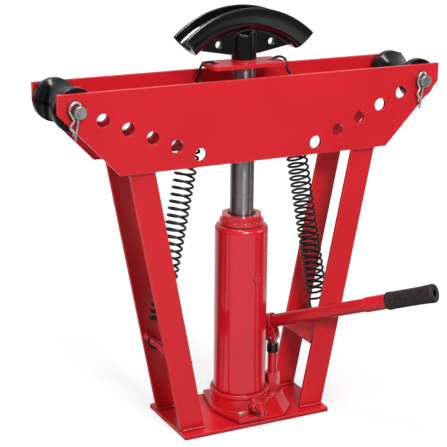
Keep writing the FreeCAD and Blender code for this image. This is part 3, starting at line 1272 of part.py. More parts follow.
# Release valve. A spindle in its boss with a packing nut. It opens the way back to the
# reservoir when the slotted end is turned.
valve_nut = new_body("valve_nut")
sketch = new_sketch(valve_nut, "XZ_Plane", "valve_boss_reach")
add_polygon(sketch, hexagon("valve_offset", "valve_height", "valve_nut_flats"))
pad(valve_nut, sketch, "valve_nut_rise")
sketch = new_sketch(valve_nut, "XZ_Plane")
add_circle(sketch, "valve_offset", "valve_height", "valve_radius + running_fit")
pocket(valve_nut, sketch)
valve = new_body("release_valve")
revolve(valve, [("0", "valve_inner"), ("valve_radius", "valve_inner"), ("valve_radius", "valve_reach"),
                ("0", "valve_reach")])
dress(valve, "Chamfer", "1", lambda edge: is_circle(edge, size("valve_radius")))
sketch = new_sketch(valve, "XZ_Plane")
add_polygon(sketch, [("-1", "valve_reach - 5"), ("1", "valve_reach - 5"),
                     ("1", "valve_reach + 1"), ("-1", "valve_reach + 1")])
pocket(valve, sketch)
place(valve, x="valve_offset", z="valve_height", turn=FreeCAD.Rotation(Vector(1, 0, 0), 90))

# Everything is computed and checked before any file is written
doc.recompute()
for item in doc.Objects:
    if "Invalid" in item.State or "Error" in item.State:
        raise ValueError("%s: %s" % (item.Name, item.State))
labels = [node.Label for node in nodes]
if len(set(labels)) != len(labels) or len(labels) > 60:
    raise ValueError("node names clash or there are too many")
for node in nodes:
    shape = node.Shape
    if shape.isNull() or not shape.isValid() or not shape.Solids:
        raise ValueError("%s has no valid solid" % node.Label)

os.makedirs("parts", exist_ok=True)
for node in nodes:
    node.Shape.exportStep("parts/%s.step" % node.Label)
print("%d nodes, %d solids" % (len(nodes), sum(len(node.Shape.Solids) for node in nodes)))
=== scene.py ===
"""A hydraulic pipe bender with its finishes: painted plate, cast iron, bright steel and rubber."""
import json
import math

import bmesh
import bpy
from mathutils import Matrix, Vector
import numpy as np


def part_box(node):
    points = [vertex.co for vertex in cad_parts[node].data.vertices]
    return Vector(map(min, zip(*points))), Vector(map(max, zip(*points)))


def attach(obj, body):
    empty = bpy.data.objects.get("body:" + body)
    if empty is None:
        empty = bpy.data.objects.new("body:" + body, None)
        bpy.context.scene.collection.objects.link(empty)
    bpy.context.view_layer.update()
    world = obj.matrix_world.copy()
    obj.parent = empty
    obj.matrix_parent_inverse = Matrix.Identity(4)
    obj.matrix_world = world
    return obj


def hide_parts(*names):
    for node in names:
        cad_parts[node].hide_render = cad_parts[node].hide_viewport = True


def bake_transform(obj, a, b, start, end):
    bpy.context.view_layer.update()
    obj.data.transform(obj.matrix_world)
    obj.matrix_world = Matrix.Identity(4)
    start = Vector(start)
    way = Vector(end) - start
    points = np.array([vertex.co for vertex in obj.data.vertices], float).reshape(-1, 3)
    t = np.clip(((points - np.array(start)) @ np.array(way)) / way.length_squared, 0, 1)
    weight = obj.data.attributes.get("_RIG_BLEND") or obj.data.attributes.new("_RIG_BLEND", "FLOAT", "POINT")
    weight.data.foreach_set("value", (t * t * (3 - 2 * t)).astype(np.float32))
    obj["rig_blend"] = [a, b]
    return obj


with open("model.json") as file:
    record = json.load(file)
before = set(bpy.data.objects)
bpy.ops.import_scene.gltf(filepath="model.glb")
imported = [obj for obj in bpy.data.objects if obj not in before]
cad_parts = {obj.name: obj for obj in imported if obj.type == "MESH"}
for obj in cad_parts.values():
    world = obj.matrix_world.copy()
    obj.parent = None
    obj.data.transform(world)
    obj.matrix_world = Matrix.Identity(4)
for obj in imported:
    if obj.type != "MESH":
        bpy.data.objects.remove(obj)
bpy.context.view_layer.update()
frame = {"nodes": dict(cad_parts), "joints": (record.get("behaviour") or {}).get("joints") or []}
parts = frame["nodes"]
MM = 0.001


# Floor plate. A 6 mm steel plate, sheared to size, that the legs are welded on. It is sprayed
# with the frame in one coat of bright red powder, whose melted film rounds the sheared edges,
# runs thin over them and leaves a slight orange peel.
def from_hex(code):
    """An sRGB hex colour as the linear values that a shader takes."""
    channels = [int(code[start:start + 2], 16) / 255 for start in (1, 3, 5)]
    return [c / 12.92 if c <= 0.04045 else ((c + 0.055) / 1.055) ** 2.4 for c in channels] + [1]


def add(tree, kind, inputs=None, **settings):
    """Add a node with its settings, and a value or a link for each input that is named."""
    made = tree.nodes.new(kind)
    for name, value in settings.items():
        setattr(made, name, value)
    for name, value in (inputs or {}).items():
        if isinstance(value, bpy.types.NodeSocket):
            tree.links.new(value, made.inputs[name])
        else:
            made.inputs[name].default_value = value
    return made


def new_finish(name):
    """An empty material, its node tree, and the place on the piece that its patterns follow."""
    material = bpy.data.materials.new(name)
    material.use_nodes = True
    tree = material.node_tree
    tree.nodes.clear()
    return material, tree, add(tree, "ShaderNodeTexCoord").outputs["Object"]


def edge_turn(tree, radius_mm):
    """1 on a flat face, and less where the normal of a rounded edge would turn away from it."""
    edge = add(tree, "ShaderNodeBevel", {"Radius": radius_mm * MM}, samples=4)
    flat = add(tree, "ShaderNodeNewGeometry")
    return add(tree, "ShaderNodeVectorMath", {0: edge.outputs[0], 1: flat.outputs["Normal"]},
               operation="DOT_PRODUCT").outputs["Value"]


def red_paint(name, base, thin_film_and_highlight, peel_mm, peel_depth_mm, roughness, gloss):
    """Uneven red paint with painted highlight on its thin-filmed edges and painted shade in corners."""
    material, tree, place = new_finish(name)
    # cloudy patches of some 90 mm, a few percent lighter and darker
    cloud = add(tree, "ShaderNodeTexNoise", {
        "Vector": place, "Scale": 1 / (90 * MM), "Detail": 1.0})
    film = add(tree, "ShaderNodeMapRange", {
        "Value": cloud.outputs["Fac"], "From Min": 0.2, "From Max": 0.8,
        "To Min": 0.93, "To Max": 1.04})
    # painted shade: the colour darkens within 9 mm of a corner, where shade falls, to as little as 45 %
    corner_occlusion = add(tree, "ShaderNodeAmbientOcclusion", {"Distance": 9 * MM}, samples=8)
    painted_corner_shade = add(tree, "ShaderNodeMapRange", {
        "Value": corner_occlusion.outputs["AO"], "From Min": 0.35, "From Max": 0.95,
        "To Min": 0.45, "To Max": 1.0})
    depth = add(tree, "ShaderNodeMath", {0: film.outputs[0], 1: painted_corner_shade.outputs[0]},
                operation="MULTIPLY")
    body = add(tree, "ShaderNodeHueSaturation", {
        "Color": from_hex(base), "Value": depth.outputs[0]})
    # the film thins within 1.2 mm of an edge, more in some places than in others; there it turns pale pink,
    # partly for the thin film and partly as a painted highlight
    lip = add(tree, "ShaderNodeMapRange", {
        "Value": edge_turn(tree, 1.2), "From Min": 0.985, "From Max": 0.86})
    rub = add(tree, "ShaderNodeTexNoise", {
        "Vector": place, "Scale": 1 / (9 * MM), "Detail": 4.0})
    rubbed = add(tree, "ShaderNodeMapRange", {
        "Value": rub.outputs["Fac"], "From Min": 0.35, "From Max": 0.65,
        "To Min": 0.4, "To Max": 0.95})
    edge_mix = add(tree, "ShaderNodeMath", {0: lip.outputs[0], 1: rubbed.outputs[0]},
               operation="MULTIPLY")
    # edges take the pale pink colour: thin film and painted highlight together
    colour = add(tree, "ShaderNodeMix", {
        "Factor": edge_mix.outputs[0], "A": body.outputs[0], "B": from_hex(thin_film_and_highlight)}, data_type="RGBA")
    # orange peel
    peel = add(tree, "ShaderNodeTexNoise", {
        "Vector": place, "Scale": 1 / (peel_mm * MM), "Detail": 2.0})
    bump = add(tree, "ShaderNodeBump", {
        "Height": peel.outputs["Fac"], "Distance": peel_depth_mm * MM, "Strength": 1.0})
    sheen = add(tree, "ShaderNodeMapRange", {
        "Value": cloud.outputs["Fac"], "From Min": 0.2, "From Max": 0.8,
        "To Min": roughness - 0.04, "To Max": roughness + 0.04})
    shader = add(tree, "ShaderNodeBsdfPrincipled", {
        "Base Color": colour.outputs["Result"], "Roughness": sheen.outputs[0],
        "Normal": bump.outputs[0], "IOR": 1.45, "Coat Weight": gloss, "Coat Roughness": 0.06})
    add(tree, "ShaderNodeOutputMaterial", {"Surface": shader.outputs[0]})
    return material


powder_coat = red_paint("red powder coat on steel plate", "#DC1A28", "#F48890",
                        2.5, 0.03, 0.36, 0.1)


def coat(material, *names):
    """Give CAD nodes a material."""
    for name in names:
        mesh = parts[name].data
        mesh.materials.clear()
        mesh.materials.append(material)
        for face in mesh.polygons:
            face.material_index = 0


def finished_mesh(piece, name):
    """The piece's mesh with its modifiers applied, on a new object at the origin."""
    bpy.context.view_layer.update()
    worked = piece.evaluated_get(bpy.context.evaluated_depsgraph_get())
    result = bpy.data.objects.new(name, bpy.data.meshes.new_from_object(worked))
    result.data.name = name
    bpy.context.scene.collection.objects.link(result)
    bpy.data.objects.remove(piece)
    return result


def loose_copy(name, flatten=True):
    """A copy of a CAD node with its loose triangles merged, and its flat faces made whole."""
    mesh = parts[name].data.copy()
    mesh.materials.clear()
    shape = bmesh.new()
    shape.from_mesh(mesh)
    bmesh.ops.remove_doubles(shape, verts=shape.verts, dist=0.002 * MM)
    if flatten:
        bmesh.ops.dissolve_limit(shape, angle_limit=math.radians(0.5),
                                 verts=shape.verts, edges=shape.edges)
    shape.to_mesh(mesh)
    shape.free()
    shading = ("custom_normal", "sharp_face", "sharp_edge")
    for layer in [layer.name for layer in mesh.attributes if layer.name in shading]:
        mesh.attributes.remove(mesh.attributes[layer])
    mesh.polygons.foreach_set("use_smooth", [True] * len(mesh.polygons))
    copy = bpy.data.objects.new(name + "_copy", mesh)
    bpy.context.scene.collection.objects.link(copy)
    return copy


def eased(name, body, material, radius_mm=0.8):
    """A CAD node with its sharp edges eased as paint and a file leave them."""
    copy = loose_copy(name)
    bevel = copy.modifiers.new("eased edges", "BEVEL")
    bevel.width, bevel.segments, bevel.limit_method = radius_mm * MM, 3, "ANGLE"
    bevel.angle_limit = math.radians(35)
    bevel.use_clamp_overlap = True
    flats = copy.modifiers.new("flat faces", "WEIGHTED_NORMAL")
    flats.keep_sharp = True
    piece = finished_mesh(copy, name + "_eased")
    piece.data.materials.clear()
    piece.data.materials.append(material)
    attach(piece, body)
    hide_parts(name)
    return piece


eased("base_plate", "frame", powder_coat, 1.0)

# Side plates. Laser-cut 6 mm steel plates with a row of pin holes at either end, joined to the
# legs by welds on their inner faces. They wear the same powder coat, also inside the holes.
for plate in ("side_plate_front", "side_plate_back"):
    eased(plate, "frame", powder_coat, 0.9)

# Legs. Four flat steel bars cut to length, which lean out from the floor plate to the side
# plates and are welded to both, under the same powder coat.
FLOOR_TOP, SIDE_LOW = 6, 406
LEG_FOOT, LEG_HEAD, LEG_WIDTH = 100, 177.5, 38.5
LEG_SLOPE = (LEG_HEAD - LEG_FOOT) / (SIDE_LOW - FLOOR_TOP)
for leg in ("leg_front_left", "leg_front_right", "leg_back_left", "leg_back_right"):
    eased(leg, "frame", powder_coat, 0.9)

# Cross plates. Short flat bars welded between each pair of legs, tilted up outwards, with a hole
# for the spring near the outer edge. They wear the same powder coat.
CROSS_LOW, CROSS_THICK, TILT = 105.5, 6, math.radians(29)
cross_out = Vector((math.cos(TILT), 0, math.sin(TILT)))
cross_up = Vector((-math.sin(TILT), 0, math.cos(TILT)))
cross_inner = Vector((LEG_FOOT - LEG_WIDTH / 2 + LEG_SLOPE * (CROSS_LOW - FLOOR_TOP), 0,
                      CROSS_LOW))
for plate in ("cross_plate_left", "cross_plate_right"):
    eased(plate, "frame", powder_coat, 0.8)

# Weld beads. MIG fillet welds laid by hand: overlapping ripples some 2 mm apart, a little
# uneven in width, under the same red coat. They run along the legs' heads and feet and along
# the cross plates, in the same places at all four legs.
HALF_BEAD, BEAD_OFF = 18.6, 1.2
OUTSIDE_LEG, INSIDE_LEG = 46 + BEAD_OFF, 40 - BEAD_OFF
leg_welds = [(Vector((centre - HALF_BEAD, y, z)), Vector((centre + HALF_BEAD, y, z)))
             for centre, y, z in ((LEG_HEAD, OUTSIDE_LEG, SIDE_LOW - BEAD_OFF),
                                  (LEG_FOOT, OUTSIDE_LEG, FLOOR_TOP + BEAD_OFF),
                                  (LEG_FOOT, INSIDE_LEG, FLOOR_TOP + BEAD_OFF))]
cross_ends = [cross_inner + cross_out * along + cross_up * (CROSS_THICK + BEAD_OFF)
              for along in (7, 48.5)]
leg_welds.append([Vector((end.x, INSIDE_LEG, end.z)) for end in cross_ends])
weld_paths = [[Vector((lengthwise * x, sideways * y, z)) * MM for x, y, z in weld]
              for lengthwise in (-1, 1) for sideways in (-1, 1) for weld in leg_welds]


def weld_tree():
    """Sweep a rippled bead along each path."""
    tree = bpy.data.node_groups.new("weld bead", "GeometryNodeTree")
    face = tree.interface
    face.new_socket("Paths", in_out="INPUT", socket_type="NodeSocketGeometry")
    for label, value in (("Bead radius", 2.7 * MM), ("Ripple spacing", 2.0 * MM),
                         ("Ripple depth", 0.13)):
        size = face.new_socket(label, in_out="INPUT", socket_type="NodeSocketFloat")
        size.default_value = value
    face.new_socket("Paint", in_out="INPUT", socket_type="NodeSocketMaterial")
    face.new_socket("Beads", in_out="OUTPUT", socket_type="NodeSocketGeometry")
    given = add(tree, "NodeGroupInput").outputs
    # six rings a ripple: it narrows by its depth and then steps out again
    steps = add(tree, "ShaderNodeMath", {0: given["Ripple spacing"], 1: 6.0}, operation="DIVIDE")
    path = add(tree, "GeometryNodeResampleCurve", {
        "Curve": given["Paths"], "Length": steps.outputs[0]}, mode="LENGTH")
    along = add(tree, "GeometryNodeSplineParameter")
    phase = add(tree, "ShaderNodeMath", {0: along.outputs["Length"], 1: given["Ripple spacing"]},
                operation="DIVIDE")
    step = add(tree, "ShaderNodeMath", {0: phase.outputs[0]}, operation="FRACT")
    crest = add(tree, "ShaderNodeMath", {0: step.outputs[0], 1: given["Ripple depth"]},
                operation="MULTIPLY")
    # the bead starts and stops rounded
    ends = add(tree, "ShaderNodeMath", {0: along.outputs["Factor"], 1: 0.5}, operation="SUBTRACT")
    away = add(tree, "ShaderNodeMath", {0: ends.outputs[0]}, operation="ABSOLUTE")
    taper = add(tree, "ShaderNodeMapRange", {
        "Value": away.outputs[0], "From Min": 0.44, "From Max": 0.5,
        "To Min": 1.0, "To Max": 0.45}, interpolation_type="SMOOTHSTEP")
    # the hand's pace makes it wider and narrower every 6 mm or so
    place = add(tree, "GeometryNodeInputPosition")
    wander = add(tree, "ShaderNodeTexNoise", {
        "Vector": place.outputs[0], "Scale": 1 / (6 * MM), "W": 3.0}, noise_dimensions="4D")
    hand = add(tree, "ShaderNodeMapRange", {
        "Value": wander.outputs["Fac"], "To Min": 0.8, "To Max": 1.15})
    width = add(tree, "ShaderNodeMath", {0: hand.outputs[0], 1: crest.outputs[0]},
                operation="SUBTRACT")
    width = add(tree, "ShaderNodeMath", {0: width.outputs[0], 1: taper.outputs[0]},
                operation="MULTIPLY")
    radius = add(tree, "ShaderNodeMath", {0: width.outputs[0], 1: given["Bead radius"]},
                 operation="MULTIPLY")
    rod = add(tree, "GeometryNodeSetCurveRadius", {
        "Curve": path.outputs[0], "Radius": radius.outputs[0]})
    section = add(tree, "GeometryNodeCurvePrimitiveCircle", {"Resolution": 14, "Radius": 1.0})
    bead = add(tree, "GeometryNodeCurveToMesh", {
        "Curve": rod.outputs[0], "Profile Curve": section.outputs[0],
        "Scale": radius.outputs[0], "Fill Caps": True})
    soft = add(tree, "GeometryNodeSetShadeSmooth", {"Geometry": bead.outputs[0]})
    whole = add(tree, "GeometryNodeRealizeInstances", {"Geometry": soft.outputs[0]})
    painted = add(tree, "GeometryNodeSetMaterial", {
        "Geometry": whole.outputs[0], "Material": given["Paint"]})
    add(tree, "NodeGroupOutput", {"Beads": painted.outputs[0]})
    return tree


def run_tree(tree, source, name, **inputs):
    """Run a node tree on an object once and keep the result as a plain mesh."""
    modifier = source.modifiers.new(tree.name, "NODES")
    modifier.node_group = tree
    for item in tree.interface.items_tree:
        label = item.name.replace(" ", "_")
        if item.in_out == "INPUT" and label in inputs:
            modifier[item.identifier] = inputs[label]
    return finished_mesh(source, name)


def path_object(name, runs):
    """A curve object of straight runs."""
    curve = bpy.data.curves.new(name, "CURVE")
    curve.dimensions = "3D"
    for run in runs:
        spline = curve.splines.new("POLY")
        spline.points.add(len(run) - 1)
        for point, place in zip(spline.points, run):
            point.co = (*place, 1)
    source = bpy.data.objects.new(name, curve)
    bpy.context.scene.collection.objects.link(source)
    return source


welds = run_tree(weld_tree(), path_object("weld_paths", weld_paths), "weld_beads_rippled",
                 Paint=powder_coat)
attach(welds, "frame")
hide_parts("weld_beads")


# Rollers. Cast iron turned on a lathe and dipped in gloss black: a thick, glassy film that shows
# the light in broad streaks, rubbed to a dull grey in places on the rims.
def black_enamel(name, base, bare, grain_mm, grain_depth_mm, roughness, gloss):
    """Black enamel over iron or steel, rubbed through in places along its edges."""
    material, tree, place = new_finish(name)
    # cloudy patches of some 25 mm
    cloud = add(tree, "ShaderNodeTexNoise", {
        "Vector": place, "Scale": 1 / (25 * MM), "Detail": 4.0})
    film = add(tree, "ShaderNodeMapRange", {
        "Value": cloud.outputs["Fac"], "From Min": 0.3, "From Max": 0.7,
        "To Min": 0.75, "To Max": 1.35})
    body = add(tree, "ShaderNodeHueSaturation", {
        "Color": from_hex(base), "Value": film.outputs[0]})
    lip = add(tree, "ShaderNodeMapRange", {
        "Value": edge_turn(tree, 1.0), "From Min": 0.97, "From Max": 0.8})
    rub = add(tree, "ShaderNodeTexNoise", {
        "Vector": place, "Scale": 1 / (6 * MM), "Detail": 5.0})
    rubbed = add(tree, "ShaderNodeMapRange", {
        "Value": rub.outputs["Fac"], "From Min": 0.48, "From Max": 0.62, "To Max": 0.5})
    edge_mix = add(tree, "ShaderNodeMath", {0: lip.outputs[0], 1: rubbed.outputs[0]},
               operation="MULTIPLY")
    colour = add(tree, "ShaderNodeMix", {
        "Factor": edge_mix.outputs[0], "A": body.outputs[0], "B": from_hex(bare)}, data_type="RGBA")
    # the grain of the iron below shows through the film
    grain = add(tree, "ShaderNodeTexNoise", {
        "Vector": place, "Scale": 1 / (grain_mm * MM), "Detail": 3.0})
    bump = add(tree, "ShaderNodeBump", {
        "Height": grain.outputs["Fac"], "Distance": grain_depth_mm * MM, "Strength": 1.0})
    sheen = add(tree, "ShaderNodeMapRange", {
        "Value": cloud.outputs["Fac"], "From Min": 0.3, "From Max": 0.7,
        "To Min": roughness - 0.05, "To Max": roughness + 0.08})
    shader = add(tree, "ShaderNodeBsdfPrincipled", {
        "Base Color": colour.outputs["Result"], "Roughness": sheen.outputs[0],
        "Normal": bump.outputs[0], "IOR": 1.5, "Coat Weight": gloss, "Coat Roughness": 0.05})
    add(tree, "ShaderNodeOutputMaterial", {"Surface": shader.outputs[0]})
    return material


roller_enamel = black_enamel("black enamel on turned iron", "#040507", "#4A4A4C",
                             3.0, 0.03, 0.2, 0.0)
coat(roller_enamel, "roller_left", "roller_right")


# Roller pins and R-clips. Bright zinc-plated steel: the pins are sawn bar with a turned chamfer,
# the clips are bent spring wire. The plating is a pale grey with a faint blue, slightly cloudy.
def bright_steel(name, base, dark, streak, roughness, ground=0.0):
    """Bare or plated steel with fine tool marks, and streak times finer along each axis.

    Ground is how strongly the rings that grinding leaves round an upright axis draw out lights.
    """
    material, tree, place = new_finish(name)
    cloud = add(tree, "ShaderNodeTexNoise", {
        "Vector": place, "Scale": 1 / (6 * MM), "Detail": 4.0})
    tone = add(tree, "ShaderNodeMix", {
        "Factor": cloud.outputs["Fac"], "A": from_hex(dark), "B": from_hex(base)},
               data_type="RGBA")
    # handling polishes the edges bright
    lip = add(tree, "ShaderNodeMapRange", {
        "Value": edge_turn(tree, 1.0), "From Min": 0.99, "From Max": 0.85, "To Max": 0.8})
    tone = add(tree, "ShaderNodeMix", {
        "Factor": lip.outputs[0], "A": tone.outputs["Result"], "B": from_hex("#FFFFFF")},
               data_type="RGBA")
    # tool marks 0.8 mm apart, coarser than the real ones so that they show
    drawn = add(tree, "ShaderNodeMapping", {"Vector": place, "Scale": streak})
    marks = add(tree, "ShaderNodeTexNoise", {
        "Vector": drawn.outputs[0], "Scale": 1 / (0.8 * MM), "Detail": 2.0})
    bump = add(tree, "ShaderNodeBump", {
        "Height": marks.outputs["Fac"], "Distance": 0.01 * MM, "Strength": 0.6})
    sheen = add(tree, "ShaderNodeMapRange", {
        "Value": marks.outputs["Fac"], "From Min": 0.3, "From Max": 0.7,
        "To Min": roughness - 0.04, "To Max": roughness + 0.06})
    round_z = add(tree, "ShaderNodeTangent", direction_type="RADIAL", axis="Z")
    shader = add(tree, "ShaderNodeBsdfPrincipled", {
        "Base Color": tone.outputs["Result"], "Metallic": 1.0, "Roughness": sheen.outputs[0],
        "Normal": bump.outputs[0], "Anisotropic": ground, "Anisotropic Rotation": 0.25,
        "Tangent": round_z.outputs[0]})
    add(tree, "ShaderNodeOutputMaterial", {"Surface": shader.outputs[0]})
    return material


EVEN = (1, 1, 1)
zinc = bright_steel("bright zinc plate on steel", "#E0E8E6", "#4E5C5E", EVEN, 0.42)
for side in ("left", "right"):
    eased("roller_pin_" + side, side + " pin", zinc, 1.6)
clip_steel = bright_steel("polished spring wire", "#F4F4F6", "#DCDEE2", EVEN, 0.3)
coat(clip_steel, "r_clip_left", "r_clip_right")


# Jack base. Grey iron cast in sand, with soft corners everywhere, then sprayed with red enamel.
# The sand's grain shows through the paint. The holes in its two ears were drilled after
# painting, so their walls are bright iron.
def cast_form(name, body, material, grain_mm, passes, form=None):
    """A CAD node as a casting, its corners softened as a sand mould leaves them.

    Form, where there is one, moves each point of the result, in mm.
    """
    copy = loose_copy(name, flatten=False)
    skin = copy.modifiers.new("cast skin", "REMESH")
    skin.mode, skin.voxel_size, skin.use_smooth_shade = "VOXEL", grain_mm * MM, True
    soft = copy.modifiers.new("soft corners", "SMOOTH")
    soft.factor, soft.iterations = 0.5, passes
    piece = finished_mesh(copy, name + "_cast")
    for point in piece.data.vertices if form else ():
        point.co = form(point.co / MM) * MM
    piece.data.materials.clear()
    piece.data.materials.append(material)
    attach(piece, body)
    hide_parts(name)
    return piece


cast_paint = red_paint("red enamel on sand-cast iron", "#D21220", "#F08890", 1.6, 0.08, 0.28, 0.5)
jack_base = cast_form("jack_base", "frame", cast_paint, 1.0, 4)
drilled_iron = bright_steel("drilled grey iron", "#F2F2F2", "#B8BABC", (1, 1, 6), 0.4)
jack_base.data.materials.append(drilled_iron)
EAR_X, EAR_Y, EAR_TOP, EAR_BORE = 20.0, 45.6, 14, 5.6
for face in jack_base.data.polygons:
    middle = face.center / MM
    reach = math.hypot(abs(middle.x) - EAR_X, abs(middle.y) - EAR_Y)
    if reach < EAR_BORE and middle.z < EAR_TOP and abs(face.normal.z) < 0.6:
        face.material_index = 1

# Holding screws and check balls. Zinc-plated countersunk screws under the floor plate, and
# hardened steel balls inside the casting, which are lapped nearly to a mirror.
coat(zinc, "jack_screws")
ball_steel = bright_steel("hardened bearing steel", "#C9CBCE", "#B4B7BA", EVEN, 0.12)
coat(ball_steel, "check_balls")

# Reservoir tube. Drawn steel tube under a smooth, glossy red enamel, which shows the light in
# long upright bands.
tube_paint = red_paint("red enamel on steel tube", "#DC1227", "#F08890", 5.0, 0.015, 0.22, 0.8)
coat(tube_paint, "reservoir_tube")


# Rubber pieces of the jack: the filler plug, the seals and the gaskets. Moulded nitrile, dull
# black, with a fine matt skin. The plug was in its hole when the tube was sprayed, so it is red.
def rubber(name, base, pale, roughness, grain_mm, depth_mm, speck="#1C1C1E"):
    """Moulded rubber with a pale bloom and a matt skin, whose crests are worn paler."""
    material, tree, place = new_finish(name)
    bloom = add(tree, "ShaderNodeTexNoise", {
        "Vector": place, "Scale": 1 / (8 * MM), "Detail": 5.0})
    tone = add(tree, "ShaderNodeMix", {
        "Factor": bloom.outputs["Fac"], "A": from_hex(base), "B": from_hex(pale)},
               data_type="RGBA")
    skin = add(tree, "ShaderNodeTexNoise", {
        "Vector": place, "Scale": 1 / (grain_mm * MM), "Detail": 1.0})
    crest = add(tree, "ShaderNodeMapRange", {
        "Value": skin.outputs["Fac"], "From Min": 0.52, "From Max": 0.66})
    tone = add(tree, "ShaderNodeMix", {
        "Factor": crest.outputs[0], "A": tone.outputs["Result"], "B": from_hex(speck)},
               data_type="RGBA")
    bump = add(tree, "ShaderNodeBump", {
        "Height": skin.outputs["Fac"], "Distance": depth_mm * MM, "Strength": 1.0})
    dull = add(tree, "ShaderNodeMapRange", {
        "Value": bloom.outputs["Fac"], "To Min": roughness - 0.08, "To Max": roughness + 0.08})
    shader = add(tree, "ShaderNodeBsdfPrincipled", {
        "Base Color": tone.outputs["Result"], "Roughness": dull.outputs[0],
        "Normal": bump.outputs[0], "IOR": 1.52})
    add(tree, "ShaderNodeOutputMaterial", {"Surface": shader.outputs[0]})
    return material


nitrile = rubber("moulded nitrile rubber", "#121213", "#1C1C1E", 0.6, 0.8, 0.03)
coat(tube_paint, "filler_plug")
coat(nitrile, "piston_seal", "wiper_seal", "base_gasket", "top_gasket", "pump_seal")

# Pressure cylinder, piston and ram. The cylinder is honed tube and the piston turned steel; the
# ram is ground and polished, a mirror drawn into fine rings.
honed = bright_steel("honed steel tube", "#A9ABAE", "#7D8084", (1, 1, 6), 0.3)
coat(honed, "pressure_cylinder", "piston")
ram_steel = bright_steel("ground and polished steel", "#B4B0B2", "#8C8689",
                         (0.3, 0.3, 3), 0.3, 0.85)
coat(ram_steel, "ram_rod")

# Top ring and top nut. Turned and milled from bar and screwed into the tube's mouth, painted
# red with the tube.
eased("top_nut", "frame", tube_paint, 0.9)
coat(tube_paint, "top_ring")

# Spring bracket. A 6 mm plate with rounded corners and a turned seat for the ram, with a hole
# at either end for a spring's hook, painted red.
eased("spring_bracket", "ram", powder_coat, 0.8)

# Bending die. Cast iron in gloss black: a trough for the pipe on a web and a round boss. The
# boss is left bare of marks.
die_enamel = black_enamel("black enamel on sand-cast iron", "#060607", "#45454A",
                          2.2, 0.04, 0.15, 0.6)
SWEEP_Z, TROUGH_LOW = 469.5, 540
FLANK_TOP, GROOVE_LOW, FLANK_FOOT = 146, 131, 109
GROOVE_SIDE, WEB_SIDE = 19, 5


def die_form(spot):
    """Round the trough's flanks under its lips towards half their width, as draft leaves them.

    Beside the groove only what lies outside it moves, and further down all but the web.
    """
    radius = math.hypot(spot.x, spot.z - SWEEP_Z)
    kept = WEB_SIDE if radius < GROOVE_LOW else GROOVE_SIDE
    if FLANK_FOOT < radius < FLANK_TOP and spot.z > TROUGH_LOW and abs(spot.y) > kept:
        drop = (FLANK_TOP - radius) / (FLANK_TOP - FLANK_FOOT)
        spot.y *= math.sqrt(1 - 0.75 * drop ** 2)
    return spot


cast_form("bending_die", "die", die_enamel, 0.9, 4, die_form)

# Return springs. Spring wire coiled cold and dipped dull black. The lower end is a ring through
# the cross plate, the upper end a hook over the end of the bracket. The wire is drawn at 3.7 mm,
# a little heavier than the CAD's 3 mm, so that the coils show as dark as the real ones.
WIRE, COIL, HOOK, TURNS = 3.7, 14.5, 13.0, 35
COIL_LOW, COIL_OUT, HOOK_RISE, HOOK_STUB = 166, 2.8, 9.4, 4
STILL_BELOW, RIDES_ABOVE = 150, 516
STEP = math.radians(45)
EDGE_GAP = 0.3
RING_ALONG, RING_TO_HOLE = 48, 4.5
BRACKET_TOP, BRACKET_HOLE_X, BRACKET_HOLE_RADIUS = 539, 43, 4


def wire_tree():
    """Sweep a round wire along a path."""
    tree = bpy.data.node_groups.new("drawn wire", "GeometryNodeTree")
    face = tree.interface
    face.new_socket("Path", in_out="INPUT", socket_type="NodeSocketGeometry")
    size = face.new_socket("Wire radius", in_out="INPUT", socket_type="NodeSocketFloat")
    size.default_value = MM
    sides = face.new_socket("Sides", in_out="INPUT", socket_type="NodeSocketInt")
    sides.default_value = 10
    face.new_socket("Finish", in_out="INPUT", socket_type="NodeSocketMaterial")
    face.new_socket("Wire", in_out="OUTPUT", socket_type="NodeSocketGeometry")
    given = add(tree, "NodeGroupInput").outputs
    section = add(tree, "GeometryNodeCurvePrimitiveCircle", {
        "Resolution": given["Sides"], "Radius": given["Wire radius"]})
    swept = add(tree, "GeometryNodeCurveToMesh", {
        "Curve": given["Path"], "Profile Curve": section.outputs[0], "Fill Caps": True})
    soft = add(tree, "GeometryNodeSetShadeSmooth", {"Geometry": swept.outputs[0]})
    whole = add(tree, "GeometryNodeRealizeInstances", {"Geometry": soft.outputs[0]})
    finish = add(tree, "GeometryNodeSetMaterial", {
        "Geometry": whole.outputs[0], "Material": given["Finish"]})
    add(tree, "NodeGroupOutput", {"Wire": finish.outputs[0]})
    return tree


